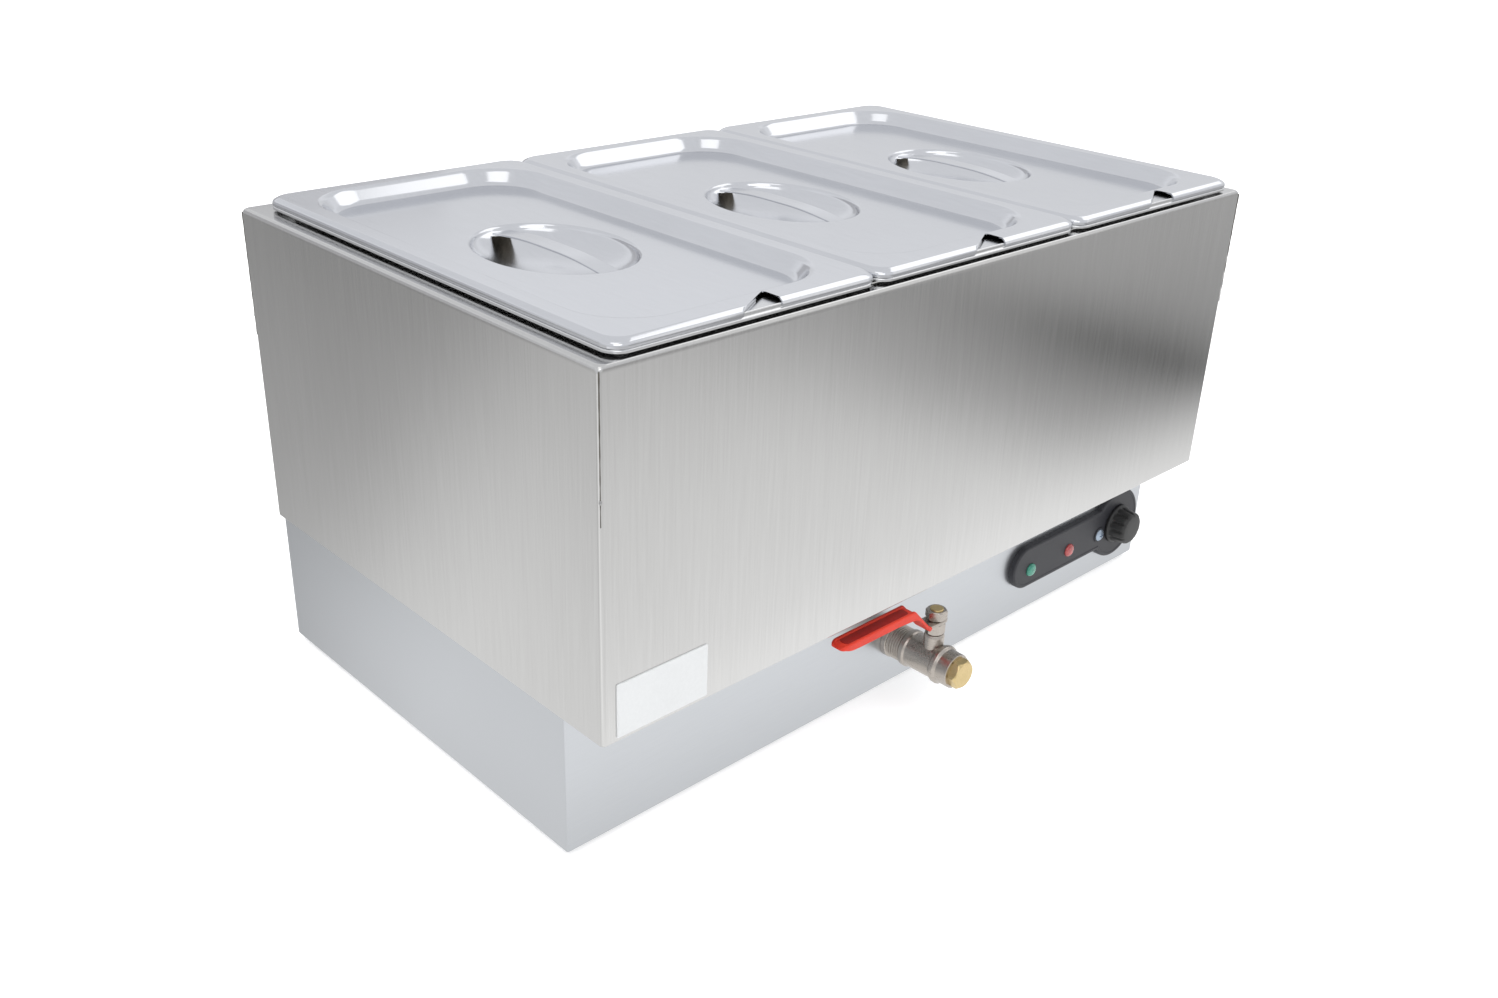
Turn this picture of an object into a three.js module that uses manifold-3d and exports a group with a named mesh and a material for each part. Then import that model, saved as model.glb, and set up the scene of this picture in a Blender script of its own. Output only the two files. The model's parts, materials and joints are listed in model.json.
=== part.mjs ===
// Countertop wet-well bain marie: three lidded one-third pans hang in a heated water well.
// Units are millimetres, +Z is up, the controls and the drain valve face -Y.
import * as THREE from 'three';
import { mergeVertices } from 'three/addons/utils/BufferGeometryUtils.js';
import Module from 'manifold-3d';

const wasm = await Module();
wasm.setup();

// ---- Driving dimensions ------------------------------------------------------------------
const SHEET = 1.2; // casing and base
const TANK_SHEET = 1;
const PAN_SHEET = 0.8; // pans and lids
const GAP = 0.3; // clearance between pieces that only nearly touch
const REST_GAP = 0.1; // between a lifted-off piece and what it rests on

const FOOT_HEIGHT = 4;
const PLATE_SHEET = 1;
const BASE = { left: -273, right: 273, front: -135, back: 166, bottom: FOOT_HEIGHT + PLATE_SHEET, height: 88.5 };
const BASE_TOP = BASE.bottom + BASE.height;
const BASE_FLANGE = 14;
const BASE_FOOT_FLANGE = 36;

const CASING = { length: 550, depth: 340, height: 201.5, bend: 3 };
const CASING_TOP = BASE_TOP + CASING.height;
const UPSTAND = 4.8; // lip that the tank hangs on

const PAN_COUNT = 3;
const PAN_PITCH = 176.6;
const PAN = { width: 176, length: 325, depth: 150, bodyWidth: 154, bodyLength: 299, corner: 24, floorRadius: 12 };
const PAN_DRAFT = 0.033;
const PAN_RIM_DROP = 4.4;
const RIM_CORNER = 10;
const WELL_Y = -5; // the pans hang this far forward of the casing's middle

const TANK = { length: 510, depth: 308, corner: 14, floor: 140 };
const TANK_HEM = 3.5;
const TANK_TOP = CASING_TOP + UPSTAND;
const PAN_UNDERSIDE = TANK_TOP + REST_GAP;
const PAN_TOP = PAN_UNDERSIDE + PAN_SHEET;

const LID_RISE = 2.4;
const LID_UNDERSIDE = PAN_TOP + REST_GAP;
const LID_TOP = LID_UNDERSIDE + LID_RISE;
const RECESS = { halfWidth: 75, front: -146.5, back: 149.5, depth: 9, corner: 38, slope: 0.75, floorRadius: 4 };
const DISH = { halfWidth: 42, halfLength: 55, depth: 13 };
const GRIP = { width: 12, thickness: 1.2, crown: 1, drop: 4, halfLength: 54 };
const NOTCH = { left: -9.6, right: 17, back: -147 };

const DRAIN = { x: -12, y: -90, z: 38, radius: 10.5, wall: 2, bend: 24 };
const VALVE_STEM_Y = -168;
const VALVE_FACE_Y = -192;
const LEVER = { length: 93, width: 12, top: 85, sheet: 2, bendX: 28, plate: 62.2 };

const FASCIA = { left: 110, z: 43, halfHeight: 16, lobeX: 236, lobeRadius: 27, thickness: 5 };
const LAMPS = { z: 40, green: 130, red: 176, radius: 5 };
const FASCIA_SCREW_X = 214;
const FASCIA_FACE = BASE.front - FASCIA.thickness;
const KNOB = { skirt: 17, foot: 15, tip: 12.5, height: 14, socket: 3.4 };
const SPINDLE_RADIUS = 3;

const GLAND = { x: 200, z: 45, radius: 8 };
const FOOT_INSET = 24;
const BADGE = { x: -266.5, z: 96.3, width: 60, height: 31.5, thickness: 0.8 };

// ---- Materials ---------------------------------------------------------------------------
const finishes = {
  brushedSteel: { color: 0xb9babb, roughness: 0.38, metalness: 1 },
  satinSteel: { color: 0xc3c6cb, roughness: 0.45, metalness: 1 },
  polishedSteel: { color: 0xd2d4da, roughness: 0.16, metalness: 1 },
  zincSteel: { color: 0xa9aaa8, roughness: 0.5, metalness: 1 },
  nickel: { color: 0xb5ada4, roughness: 0.32, metalness: 1 },
  brass: { color: 0xc8ae6a, roughness: 0.35, metalness: 1 },
  blackPlastic: { color: 0x1c1c1f, roughness: 0.5, metalness: 0 },
  charcoalPlastic: { color: 0x4a4a50, roughness: 0.55, metalness: 0 },
  redVinyl: { color: 0xd8402f, roughness: 0.45, metalness: 0 },
  greenLens: { color: 0x2f9a7a, roughness: 0.25, metalness: 0 },
  redLens: { color: 0xc84a4a, roughness: 0.25, metalness: 0 },
  whiteLabel: { color: 0xf0f0f0, roughness: 0.4, metalness: 0 },
  rubber: { color: 0x242424, roughness: 0.8, metalness: 0 },
  ceramic: { color: 0xe6e0d2, roughness: 0.6, metalness: 0 },
  ptfe: { color: 0xf4f4f0, roughness: 0.5, metalness: 0 },
};

// ---- Solids: three.js geometries turned into manifolds for cutting and joining ------------
function signedVolume(positions, index) {
  const [a, b, c] = [new THREE.Vector3(), new THREE.Vector3(), new THREE.Vector3()];
  let total = 0;
  for (let i = 0; i < index.length; i += 3) {
    a.fromArray(positions, index[i] * 3);
    b.fromArray(positions, index[i + 1] * 3);
    c.fromArray(positions, index[i + 2] * 3);
    total += a.dot(b.cross(c)) / 6;
  }
  return total;
}

function solid(geometry) {
  geometry.deleteAttribute('normal');
  geometry.deleteAttribute('uv');
  const merged = mergeVertices(geometry, 1e-4);
  const corners = [];
  const source = merged.index.array;
  for (let i = 0; i < source.length; i += 3) {
    const [a, b, c] = [source[i], source[i + 1], source[i + 2]];
    if (a !== b && b !== c && c !== a) corners.push(a, b, c);
  }
  const positions = merged.attributes.position.array;
  const triVerts = Uint32Array.from(signedVolume(positions, corners) < 0 ? corners.reverse() : corners);
  return new wasm.Manifold(new wasm.Mesh({ numProp: 3, vertProperties: positions, triVerts }));
}

function union(...solids) {
  return solids.reduce((sum, next) => sum.add(next));
}

function cut(body, ...tools) {
  return tools.reduce((rest, tool) => rest.subtract(tool), body);
}

function block(x0, x1, y0, y1, z0, z1) {
  const box = new THREE.BoxGeometry(x1 - x0, y1 - y0, z1 - z0);
  return solid(box.translate((x0 + x1) / 2, (y0 + y1) / 2, (z0 + z1) / 2));
}

function rodZ(radius, z0, z1, x = 0, y = 0, sides = 20) {
  const rod = new THREE.CylinderGeometry(radius, radius, z1 - z0, sides);
  return solid(rod.rotateX(Math.PI / 2).translate(x, y, (z0 + z1) / 2));
}

function rodY(radius, y0, y1, x = 0, z = 0, sides = 18) {
  const rod = new THREE.CylinderGeometry(radius, radius, y1 - y0, sides);
  return solid(rod.translate(x, (y0 + y1) / 2, z));
}

// A hexagonal bar, `flats` across its flats.
function hexRadius(flats) {
  return flats / Math.sqrt(3);
}

// A body turned about Z. The profile is [radius, height] pairs, closed on the axis.
function turnedZ(profile, sides = 24) {
  const points = profile.map(([radius, height]) => new THREE.Vector2(radius, height));
  return solid(new THREE.LatheGeometry(points, sides).rotateX(Math.PI / 2));
}

// A body turned about an axis that points towards -Y: heights grow towards the front.
function turnedForward(profile, sides = 24) {
  const points = profile.map(([radius, height]) => new THREE.Vector2(radius, height));
  return solid(new THREE.LatheGeometry(points, sides).rotateZ(Math.PI));
}

function roundedRect(width, length, radius) {
  const [x, y] = [width / 2, length / 2];
  const shape = new THREE.Shape();
  shape.absarc(x - radius, y - radius, radius, 0, Math.PI / 2);
  shape.absarc(radius - x, y - radius, radius, Math.PI / 2, Math.PI);
  shape.absarc(radius - x, radius - y, radius, Math.PI, 1.5 * Math.PI);
  shape.absarc(x - radius, radius - y, radius, 1.5 * Math.PI, 2 * Math.PI);
  return shape;
}

function roundedBlock(width, length, radius, z0, z1, curveSegments = 3) {
  const options = { depth: z1 - z0, bevelEnabled: false, curveSegments };
  return solid(new THREE.ExtrudeGeometry(roundedRect(width, length, radius), options).translate(0, 0, z0));
}

// A tray-shaped body: its floor edge is rounded and its walls lean in by `slope` per unit of depth.
// The walls run on past `top`, so that the body can be trimmed there or cut right through a rim.
function trayForm({ width, length, corner, floor, top, edge, slope = 0 }) {
  const shape = roundedRect(width, length, corner);
  const overshoot = 2;
  const options = {
    depth: top + overshoot - floor - edge,
    curveSegments: 3,
    bevelThickness: edge,
    bevelSize: edge,
    bevelOffset: -edge,
    bevelSegments: 2,
  };
  const form = new THREE.ExtrudeGeometry(shape, options).translate(0, 0, floor + edge);
  const position = form.attributes.position;
  for (let i = 0; i < position.count; i += 1) {
    const lean = slope * (top - position.getZ(i));
    position.setX(i, position.getX(i) - Math.sign(position.getX(i)) * lean);
    position.setY(i, position.getY(i) - Math.sign(position.getY(i)) * lean);
  }
  return solid(form);
}

// ---- The scene graph ---------------------------------------------------------------------
const group = new THREE.Group();
const unit = new THREE.Group();
group.add(unit);

function addMesh(name, body, finish, place = [0, 0, 0], parent = unit) {
  const { vertProperties, triVerts } = body.getMesh();
  const geometry = new THREE.BufferGeometry();
  geometry.setAttribute('position', new THREE.BufferAttribute(vertProperties, 3));
  geometry.setIndex(new THREE.BufferAttribute(triVerts, 1));
  geometry.computeVertexNormals();
  const mesh = new THREE.Mesh(geometry, new THREE.MeshStandardMaterial(finishes[finish]));
  mesh.name = name;
  mesh.position.set(...place);
  parent.add(mesh);
}

// ---- Upper casing: a folded shell with an upstand around the well opening -----------------
const WELL_WALL = TANK_SHEET + 0.2;

function wellForm(grow, z0, z1) {
  const width = TANK.length + 2 * grow;
  return roundedBlock(width, TANK.depth + 2 * grow, TANK.corner + grow, z0, z1).translate([0, WELL_Y, 0]);
}

// Where two pans meet, their rims dip through notches in the front and back of the upstand.
function rimNotches() {
  const floor = PAN_TOP - PAN_RIM_DROP - GAP;
  return [-PAN_PITCH / 2, PAN_PITCH / 2].map((x) => block(x - 4, x + 4, -CASING.depth, CASING.depth, floor, LID_TOP));
}

function flangeOpening(flange, z0, z1) {
  const [x0, x1] = [BASE.left + flange, BASE.right - flange];
  return block(x0, x1, BASE.front + flange, BASE.back - flange, z0, z1);
}

function upperCasing() {
  const shape = roundedRect(CASING.length, CASING.depth, CASING.bend + 0.5);
  const bend = CASING.bend;
  const options = {
    depth: CASING.height - bend,
    curveSegments: 3,
    bevelThickness: bend,
    bevelSize: bend,
    bevelOffset: -bend,
    bevelSegments: 3,
  };
  const folded = solid(new THREE.ExtrudeGeometry(shape, options).translate(0, 0, BASE_TOP));
  const below = block(-CASING.length, CASING.length, -CASING.depth, CASING.depth, 0, BASE_TOP);
  const [halfLength, halfDepth] = [CASING.length / 2 - SHEET, CASING.depth / 2 - SHEET];
  const inside = block(-halfLength, halfLength, -halfDepth, halfDepth, BASE_TOP + SHEET, CASING_TOP - SHEET);
  const upstand = wellForm(WELL_WALL + SHEET, CASING_TOP - SHEET, TANK_TOP - TANK_SHEET);
  const shell = union(cut(folded, below, inside), upstand);
  const opening = wellForm(WELL_WALL, CASING_TOP - 2 * SHEET, LID_TOP);
  return cut(shell, opening, flangeOpening(BASE_FLANGE, 0, BASE_TOP + 2 * SHEET), ...rimNotches());
}

// ---- Water tank: a welded well that hangs on the upstand by its hem ------------------------
const STUD_X = 110;
const TANK_UNDERSIDE = TANK.floor - TANK_SHEET;
const SPIGOT = { radius: 10, bore: 8, length: 16 };

function tankForm(grow, floor, top) {
  return trayForm({
    width: TANK.length + 2 * grow,
    length: TANK.depth + 2 * grow,
    corner: TANK.corner + grow,
    floor,
    top,
    edge: 5 + grow,
  }).translate([0, WELL_Y, 0]);
}

function waterTank() {
  const hem = wellForm(TANK_SHEET + TANK_HEM, TANK_TOP - TANK_SHEET, TANK_TOP);
  const outside = block(-CASING.length, CASING.length, -CASING.depth, CASING.depth, TANK_TOP, LID_TOP + 50);
  const shell = cut(tankForm(TANK_SHEET, TANK_UNDERSIDE, TANK_TOP), outside);
  const spigot = rodZ(SPIGOT.radius, TANK_UNDERSIDE - SPIGOT.length, TANK.floor - 0.2, DRAIN.x, DRAIN.y);
  const studs = [-STUD_X, STUD_X].map((x) => rodZ(2.5, TANK_UNDERSIDE - 15, TANK.floor - 0.2, x, WELL_Y, 12));
  const bore = rodZ(SPIGOT.bore, 0, TANK.floor + 1, DRAIN.x, DRAIN.y);
  return cut(union(shell, hem, spigot, ...studs), tankForm(0, TANK.floor, LID_TOP + 60), bore, ...rimNotches());
}

// ---- Pans and lids -------------------------------------------------------------------------
function panForm(grow, floor, top) {
  return trayForm({
    width: PAN.bodyWidth + 2 * grow,
    length: PAN.bodyLength + 2 * grow,
    corner: PAN.corner + grow,
    floor,
    top,
    edge: PAN.floorRadius + grow,
    slope: PAN_DRAFT,
  });
}

function pan() {
  const floor = PAN_TOP - PAN.depth;
  const flange = roundedBlock(PAN.width, PAN.length, RIM_CORNER, PAN_UNDERSIDE, PAN_TOP);
  const bead = roundedBlock(PAN.width, PAN.length, RIM_CORNER, PAN_TOP - PAN_RIM_DROP, PAN_TOP);
  const underBead = roundedBlock(
    PAN.width - 2 * PAN_SHEET,
    PAN.length - 2 * PAN_SHEET,
    RIM_CORNER - PAN_SHEET,
    0,
    PAN_UNDERSIDE,
  );
  const above = block(-PAN.length, PAN.length, -PAN.length, PAN.length, PAN_TOP, PAN_TOP + 50);
  const body = cut(panForm(0, floor, PAN_TOP), above);
  const inside = panForm(-PAN_SHEET, floor + PAN_SHEET, PAN_TOP);
  return cut(union(cut(bead, underBead), flange, body), inside);
}

function recessForm(grow, floor, top) {
  const width = 2 * RECESS.halfWidth + 2 * grow;
  const length = RECESS.back - RECESS.front + 2 * grow;
  const form = { width, length, corner: RECESS.corner + grow, floor, top, slope: RECESS.slope };
  return trayForm({ ...form, edge: RECESS.floorRadius + grow }).translate([0, (RECESS.front + RECESS.back) / 2, 0]);
}

// The oval finger dish under the grip: a shallow bowl, squeezed in X.
function dishForm(grow, rim, top) {
  const steps = 4;
  const profile = [[0, top]];
  for (let i = 0; i <= steps; i += 1) {
    const angle = (i / steps) * (Math.PI / 2);
    const reach = Math.cos(angle) ** 0.75;
    profile.push([(DISH.halfLength + grow) * reach, rim - (DISH.depth + grow) * Math.sin(angle) ** 1.2]);
  }
  profile[profile.length - 1][0] = 0;
  profile.splice(1, 0, [DISH.halfLength + grow, top]);
  return turnedZ(profile, 20).scale([DISH.halfWidth / DISH.halfLength, 1, 1]);
}

// The spoon notch in the front edge: its right side is square to the edge, its left side slants.
function lidNotch() {
  const { left, right, back } = NOTCH;
  const front = -PAN.length / 2;
  const lead = 5;
  const slant = (right - left) / (back - front);
  const shape = new THREE.Shape();
  shape.moveTo(left - lead * slant, front - lead);
  shape.lineTo(right, front - lead);
  shape.lineTo(right, back);
  const options = { depth: 20, bevelEnabled: false };
  return solid(new THREE.ExtrudeGeometry(shape, options).translate(0, 0, LID_TOP - 10));
}

function lid() {
  const edge = 1.4;
  const under = LID_TOP - PAN_SHEET;
  const options = {
    depth: 10,
    curveSegments: 3,
    bevelThickness: edge,
    bevelSize: edge,
    bevelOffset: -edge,
    bevelSegments: 2,
  };
  const rolled = new THREE.ExtrudeGeometry(roundedRect(PAN.width, PAN.length, RIM_CORNER), options);
  const cover = solid(rolled.translate(0, 0, LID_TOP - edge - options.depth));
  const below = block(-PAN.length, PAN.length, -PAN.length, PAN.length, 0, LID_UNDERSIDE);
  const hollow = roundedBlock(
    PAN.width - 2 * PAN_SHEET,
    PAN.length - 2 * PAN_SHEET,
    RIM_CORNER - PAN_SHEET,
    0,
    under,
  );
  const floor = LID_TOP - RECESS.depth;
  const shell = cut(cover, below, hollow);
  const above = block(-PAN.length, PAN.length, -PAN.length, PAN.length, LID_TOP, LID_TOP + 90);
  const sunk = cut(recessForm(0, floor - PAN_SHEET, LID_TOP), above);
  const dish = dishForm(PAN_SHEET, floor - PAN_SHEET, floor);
  const inside = recessForm(-PAN_SHEET, floor, LID_TOP);
  return cut(union(shell, sunk, dish), inside, dishForm(0, floor - 0.2, LID_TOP), lidNotch());
}

// The grip strip arches over the dish along its length; both ends are spot welded to the dish's wall.
function lidGrip() {
  const { halfLength, crown, drop, thickness, width } = GRIP;
  const under = crown - thickness;
  const shape = new THREE.Shape();
  shape.moveTo(-halfLength, -drop);
  shape.bezierCurveTo(-halfLength / 2, under, -halfLength / 3, under, 0, under);
  shape.bezierCurveTo(halfLength / 3, under, halfLength / 2, under, halfLength, -drop);
  shape.lineTo(halfLength, thickness - drop);
  shape.bezierCurveTo(halfLength / 2, crown, halfLength / 3, crown, 0, crown);
  shape.bezierCurveTo(-halfLength / 3, crown, -halfLength / 2, crown, -halfLength, thickness - drop);
  const strip = new THREE.ExtrudeGeometry(shape, { depth: width, bevelEnabled: false, curveSegments: 6 });
  strip.translate(0, 0, -width / 2).rotateX(Math.PI / 2).rotateZ(Math.PI / 2);
  const floor = LID_TOP - RECESS.depth;
  return solid(strip.translate(0, 0, floor)).intersect(dishForm(-REST_GAP, floor - 0.2, LID_TOP));
}

// ---- Base: a folded box, its bottom plate and four feet -------------------------------------
function footPlaces() {
  const xs = [BASE.left + FOOT_INSET, BASE.right - FOOT_INSET];
  const ys = [BASE.front + FOOT_INSET, BASE.back - FOOT_INSET];
  return ys.flatMap((y) => xs.map((x) => [x, y]));
}

function baseBox() {
  const [width, length] = [BASE.right - BASE.left, BASE.back - BASE.front];
  const middle = (BASE.front + BASE.back) / 2;
  const outer = roundedBlock(width, length, 1.5, BASE.bottom, BASE_TOP, 2).translate([0, middle, 0]);
  const inner = block(
    BASE.left + SHEET,
    BASE.right - SHEET,
    BASE.front + SHEET,
    BASE.back - SHEET,
    BASE.bottom + SHEET,
    BASE_TOP - SHEET,
  );
  const front = (radius, x, z) => rodY(radius, BASE.front - 5, BASE.front + 5, x, z);
  const holes = [
    front(DRAIN.radius + GAP, DRAIN.x, DRAIN.z),
    front(SPINDLE_RADIUS + 2, FASCIA.lobeX, FASCIA.z),
    front(2.3, FASCIA.lobeX - 10, FASCIA.z),
    front(2.3, FASCIA.lobeX + 10, FASCIA.z),
    front(LAMPS.radius - 0.5, LAMPS.green, LAMPS.z),
    front(LAMPS.radius - 0.5, LAMPS.red, LAMPS.z),
    front(1.8, FASCIA_SCREW_X, LAMPS.z),
    rodY(GLAND.radius + GAP, BASE.back - 5, BASE.back + 5, GLAND.x, GLAND.z),
    ...footPlaces().map(([x, y]) => rodZ(2.3, 0, BASE.bottom + 5, x, y, 12)),
  ];
  const topOpening = flangeOpening(BASE_FLANGE, BASE_TOP - 5, BASE_TOP + 5);
  return cut(outer, inner, topOpening, flangeOpening(BASE_FOOT_FLANGE, 0, BASE.bottom + 5), ...holes);
}

function bottomPlate() {
  const [width, length] = [BASE.right - BASE.left - 8, BASE.back - BASE.front - 8];
  const middle = (BASE.front + BASE.back) / 2;
  const plate = roundedBlock(width, length, 3, FOOT_HEIGHT, BASE.bottom, 2).translate([0, middle, 0]);
  const screws = footPlaces().map(([x, y]) => rodZ(2.3, 0, 20, x, y, 12));
  const vents = [];
  for (let i = -2; i <= 2; i += 1) {
    const slot = roundedBlock(6, 60, 2.9, 0, 20, 2);
    vents.push(slot.translate([i * 26, middle, 0]));
  }
  return cut(plate, ...screws, ...vents);
}

function foot() {
  return turnedZ(
    [[2.3, 2.4], [5, 2.4], [5, 0], [11, 0], [12, FOOT_HEIGHT], [2.3, FOOT_HEIGHT], [2.3, 2.4]],
    14,
  );
}

function footScrew() {
  return turnedZ([[0, 0.6], [3.4, 0.6], [4, 1.2], [4, 2.4], [2, 2.4], [2, 12], [0, 12]], 10);
}

// ---- Drain: pipe under the tank, locknut and ball valve -------------------------------------
function pipePath(y0, yEnd) {
  const corner = new THREE.Vector3(DRAIN.x, y0, DRAIN.z);
  const path = new THREE.CurvePath();
  const top = TANK_UNDERSIDE - SPIGOT.length - GAP;
  const bendTop = new THREE.Vector3(DRAIN.x, y0, DRAIN.z + DRAIN.bend);
  const bendEnd = new THREE.Vector3(DRAIN.x, y0 - DRAIN.bend, DRAIN.z);
  path.add(new THREE.LineCurve3(new THREE.Vector3(DRAIN.x, y0, top), bendTop));
  path.add(new THREE.QuadraticBezierCurve3(bendTop, corner, bendEnd));
  path.add(new THREE.LineCurve3(bendEnd, new THREE.Vector3(DRAIN.x, yEnd, DRAIN.z)));
  return path;
}

function ringShape(outer, inner) {
  const shape = new THREE.Shape().absarc(0, 0, outer, 0, 2 * Math.PI);
  shape.holes.push(new THREE.Path().absarc(0, 0, inner, 0, 2 * Math.PI));
  return shape;
}

function drainPipe() {
  const options = { steps: 11, extrudePath: pipePath(DRAIN.y, BASE.front - 8), curveSegments: 6 };
  return solid(new THREE.ExtrudeGeometry(ringShape(DRAIN.radius, DRAIN.radius - DRAIN.wall), options));
}

// A rubber-lined sleeve joins the tank spigot to the pipe below it.
function drainSleeve() {
  const top = TANK_UNDERSIDE - 4;
  const joint = TANK_UNDERSIDE - SPIGOT.length;
  const sleeve = rodZ(13.5, joint - 16, top, DRAIN.x, DRAIN.y);
  const pipeBore = rodZ(DRAIN.radius + GAP, joint - 20, joint, DRAIN.x, DRAIN.y);
  return cut(sleeve, pipeBore, rodZ(SPIGOT.radius + GAP, joint - 1, top + 1, DRAIN.x, DRAIN.y));
}

function drainLocknut() {
  const nut = rodY(hexRadius(27), BASE.front + SHEET, BASE.front + SHEET + 6, DRAIN.x, DRAIN.z, 6);
  return cut(nut, rodY(DRAIN.radius + GAP, BASE.front, BASE.front + 20, DRAIN.x, DRAIN.z));
}

const VALVE = { bore: 6.3, ball: 8.6, seat: 9.1 };
const STEM = { radius: 3, head: 3.6 };

// Heights in the valve's profiles run forward from the base's front face.
function valveBody() {
  const stemAt = BASE.front - VALVE_STEM_Y;
  const faceAt = BASE.front - VALVE_FACE_Y;
  const profile = [
    [0, 0],
    [13.5, 0],
    [13.5, 7],
    [11.2, 8],
    [11.2, 14],
    [12.4, 15.2],
    [12.4, 18],
    [11.4, 19.2],
    [11.4, stemAt + 4],
    [12.8, stemAt + 6],
    [12.8, stemAt + 8.6],
    [11.4, stemAt + 10],
    [11.4, faceAt - 10],
    [0, faceAt - 10],
  ];
  const body = turnedForward(profile, 20);
  const boss = rodZ(6.5, 0, 19.5, 0, VALVE_STEM_Y - BASE.front, 20);
  const bore = rodY(VALVE.bore, -100, 10);
  const socket = rodY(DRAIN.radius + GAP, -9, 10);
  const outlet = rodY(8.3, -faceAt, -(faceAt - 14.6));
  const seat = solid(new THREE.SphereGeometry(VALVE.seat, 12, 8).translate(0, -stemAt, 0));
  const stemHole = rodZ(STEM.radius + GAP, 0, 30, 0, -stemAt, 16);
  return cut(union(body, boss), bore, socket, outlet, seat, stemHole);
}

function valveBall() {
  const sphere = solid(new THREE.SphereGeometry(VALVE.ball, 12, 8));
  const slot = block(-1.9, 1.9, -10, 10, VALVE.ball - 2.6, VALVE.ball + 1);
  // Closed: the ball's bore lies across the pipe.
  const bore = rodY(VALVE.bore - 0.5, -20, 20).rotate([0, 0, 90]);
  return cut(sphere, bore, slot);
}

function valveStem() {
  const tongue = block(-1.5, 1.5, -2.4, 2.4, VALVE.ball - 2.2, VALVE.ball + 2);
  const shank = rodZ(STEM.radius, VALVE.ball + 0.6, 37, 0, 0, 16);
  return union(tongue, shank);
}

function hexNut(flats, z0, z1, bore) {
  const nut = rodZ(hexRadius(flats), z0, z1, 0, 0, 6);
  return cut(nut, rodZ(bore, z0 - 1, z1 + 1, 0, 0, 16));
}

// ---- Valve lever: pressed strip that climbs from the stem to a channel-shaped grip ----------
function leverStrip() {
  const { length, top, sheet, bendX, plate } = LEVER;
  const shape = new THREE.Shape();
  const climb = 12;
  shape.moveTo(8, plate);
  shape.lineTo(8, plate + sheet);
  shape.lineTo(-climb, plate + sheet);
  shape.lineTo(-bendX, top);
  shape.lineTo(-length + 3, top);
  shape.absarc(-length + 3, top - 3, 3, Math.PI / 2, Math.PI, false);
  shape.lineTo(-length + sheet, top - 4);
  shape.lineTo(-length + sheet, top - sheet);
  shape.lineTo(-bendX + 1, top - sheet);
  shape.lineTo(-climb - 1, plate);
  const options = { depth: LEVER.width, bevelEnabled: false, curveSegments: 4 };
  const strip = new THREE.ExtrudeGeometry(shape, options).translate(0, 0, -LEVER.width / 2);
  return solid(strip.rotateX(Math.PI / 2));
}

function leverSkirt(side) {
  const { length, top, sheet, bendX, width } = LEVER;
  const shape = new THREE.Shape();
  shape.moveTo(-bendX - 2, top - 0.5);
  shape.lineTo(-length + 2.4, top - 0.5);
  shape.lineTo(-length + 2.4, top - 3);
  shape.quadraticCurveTo(-length + 6, top - 7, -length + 14, top - 7);
  shape.lineTo(-bendX - 10, top - 6);
  shape.lineTo(-bendX + 6, top - 11);
  shape.lineTo(-bendX + 9, top - 8);
  const skirt = new THREE.ExtrudeGeometry(shape, { depth: 1.6, bevelEnabled: false, curveSegments: 4 });
  const offset = side > 0 ? width / 2 : -width / 2 + 1.6;
  return solid(skirt.rotateX(Math.PI / 2).translate(0, offset, 0));
}

function valveLever() {
  const strip = leverStrip();
  const hole = rodZ(STEM.radius + GAP, 0, 200, 0, 0, 16);
  return cut(union(strip, leverSkirt(-1), leverSkirt(1)), hole);
}

function outletPlug() {
  const faceAt = BASE.front - VALVE_FACE_Y;
  const thread = rodY(8, -(faceAt - 9), -(faceAt - 14.2));
  const head = rodY(10.6, -(faceAt + 2), -(faceAt - 9.7), 0, 0, 6);
  const chamfer = turnedForward([[0, 40], [11, 40], [11, faceAt + 0.8], [9.6, faceAt + 2], [0, faceAt + 2]], 24);
  return union(thread, head.intersect(chamfer));
}

// ---- Heating element under the tank ---------------------------------------------------------
const ELEMENT = { radius: 4, reach: 200, halfGap: 55 };
const ELEMENT_Z = TANK_UNDERSIDE - ELEMENT.radius - GAP;

function heatingElement() {
  const { reach, halfGap, radius } = ELEMENT;
  const path = new THREE.CurvePath();
  const at = (x, y) => new THREE.Vector3(x, y + WELL_Y, ELEMENT_Z);
  const bendX = halfGap - reach;
  path.add(new THREE.LineCurve3(at(reach, -halfGap), at(bendX, -halfGap)));
  const swell = halfGap * 4 / 3;
  const bend = [at(bendX, -halfGap), at(bendX - swell, -halfGap), at(bendX - swell, halfGap), at(bendX, halfGap)];
  path.add(new THREE.CubicBezierCurve3(...bend));
  path.add(new THREE.LineCurve3(at(bendX, halfGap), at(reach, halfGap)));
  const section = new THREE.Shape().absarc(0, 0, radius, 0, 2 * Math.PI);
  const tube = solid(new THREE.ExtrudeGeometry(section, { steps: 28, extrudePath: path, curveSegments: 4 }));
  const pins = [-halfGap, halfGap].map((y) => {
    const pin = new THREE.CylinderGeometry(1.6, 1.6, 24, 8).rotateZ(Math.PI / 2);
    return solid(pin.translate(reach + 6, y + WELL_Y, ELEMENT_Z));
  });
  return union(tube, ...pins);
}

const CLAMP_TOP = ELEMENT_Z - ELEMENT.radius - GAP;

function elementClamp() {
  const half = ELEMENT.halfGap + 10;
  const bar = block(-8, 8, WELL_Y - half, WELL_Y + half, CLAMP_TOP - 1.5, CLAMP_TOP);
  return cut(bar, rodZ(2.8, CLAMP_TOP - 5, CLAMP_TOP + 5, 0, WELL_Y, 12));
}

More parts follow.
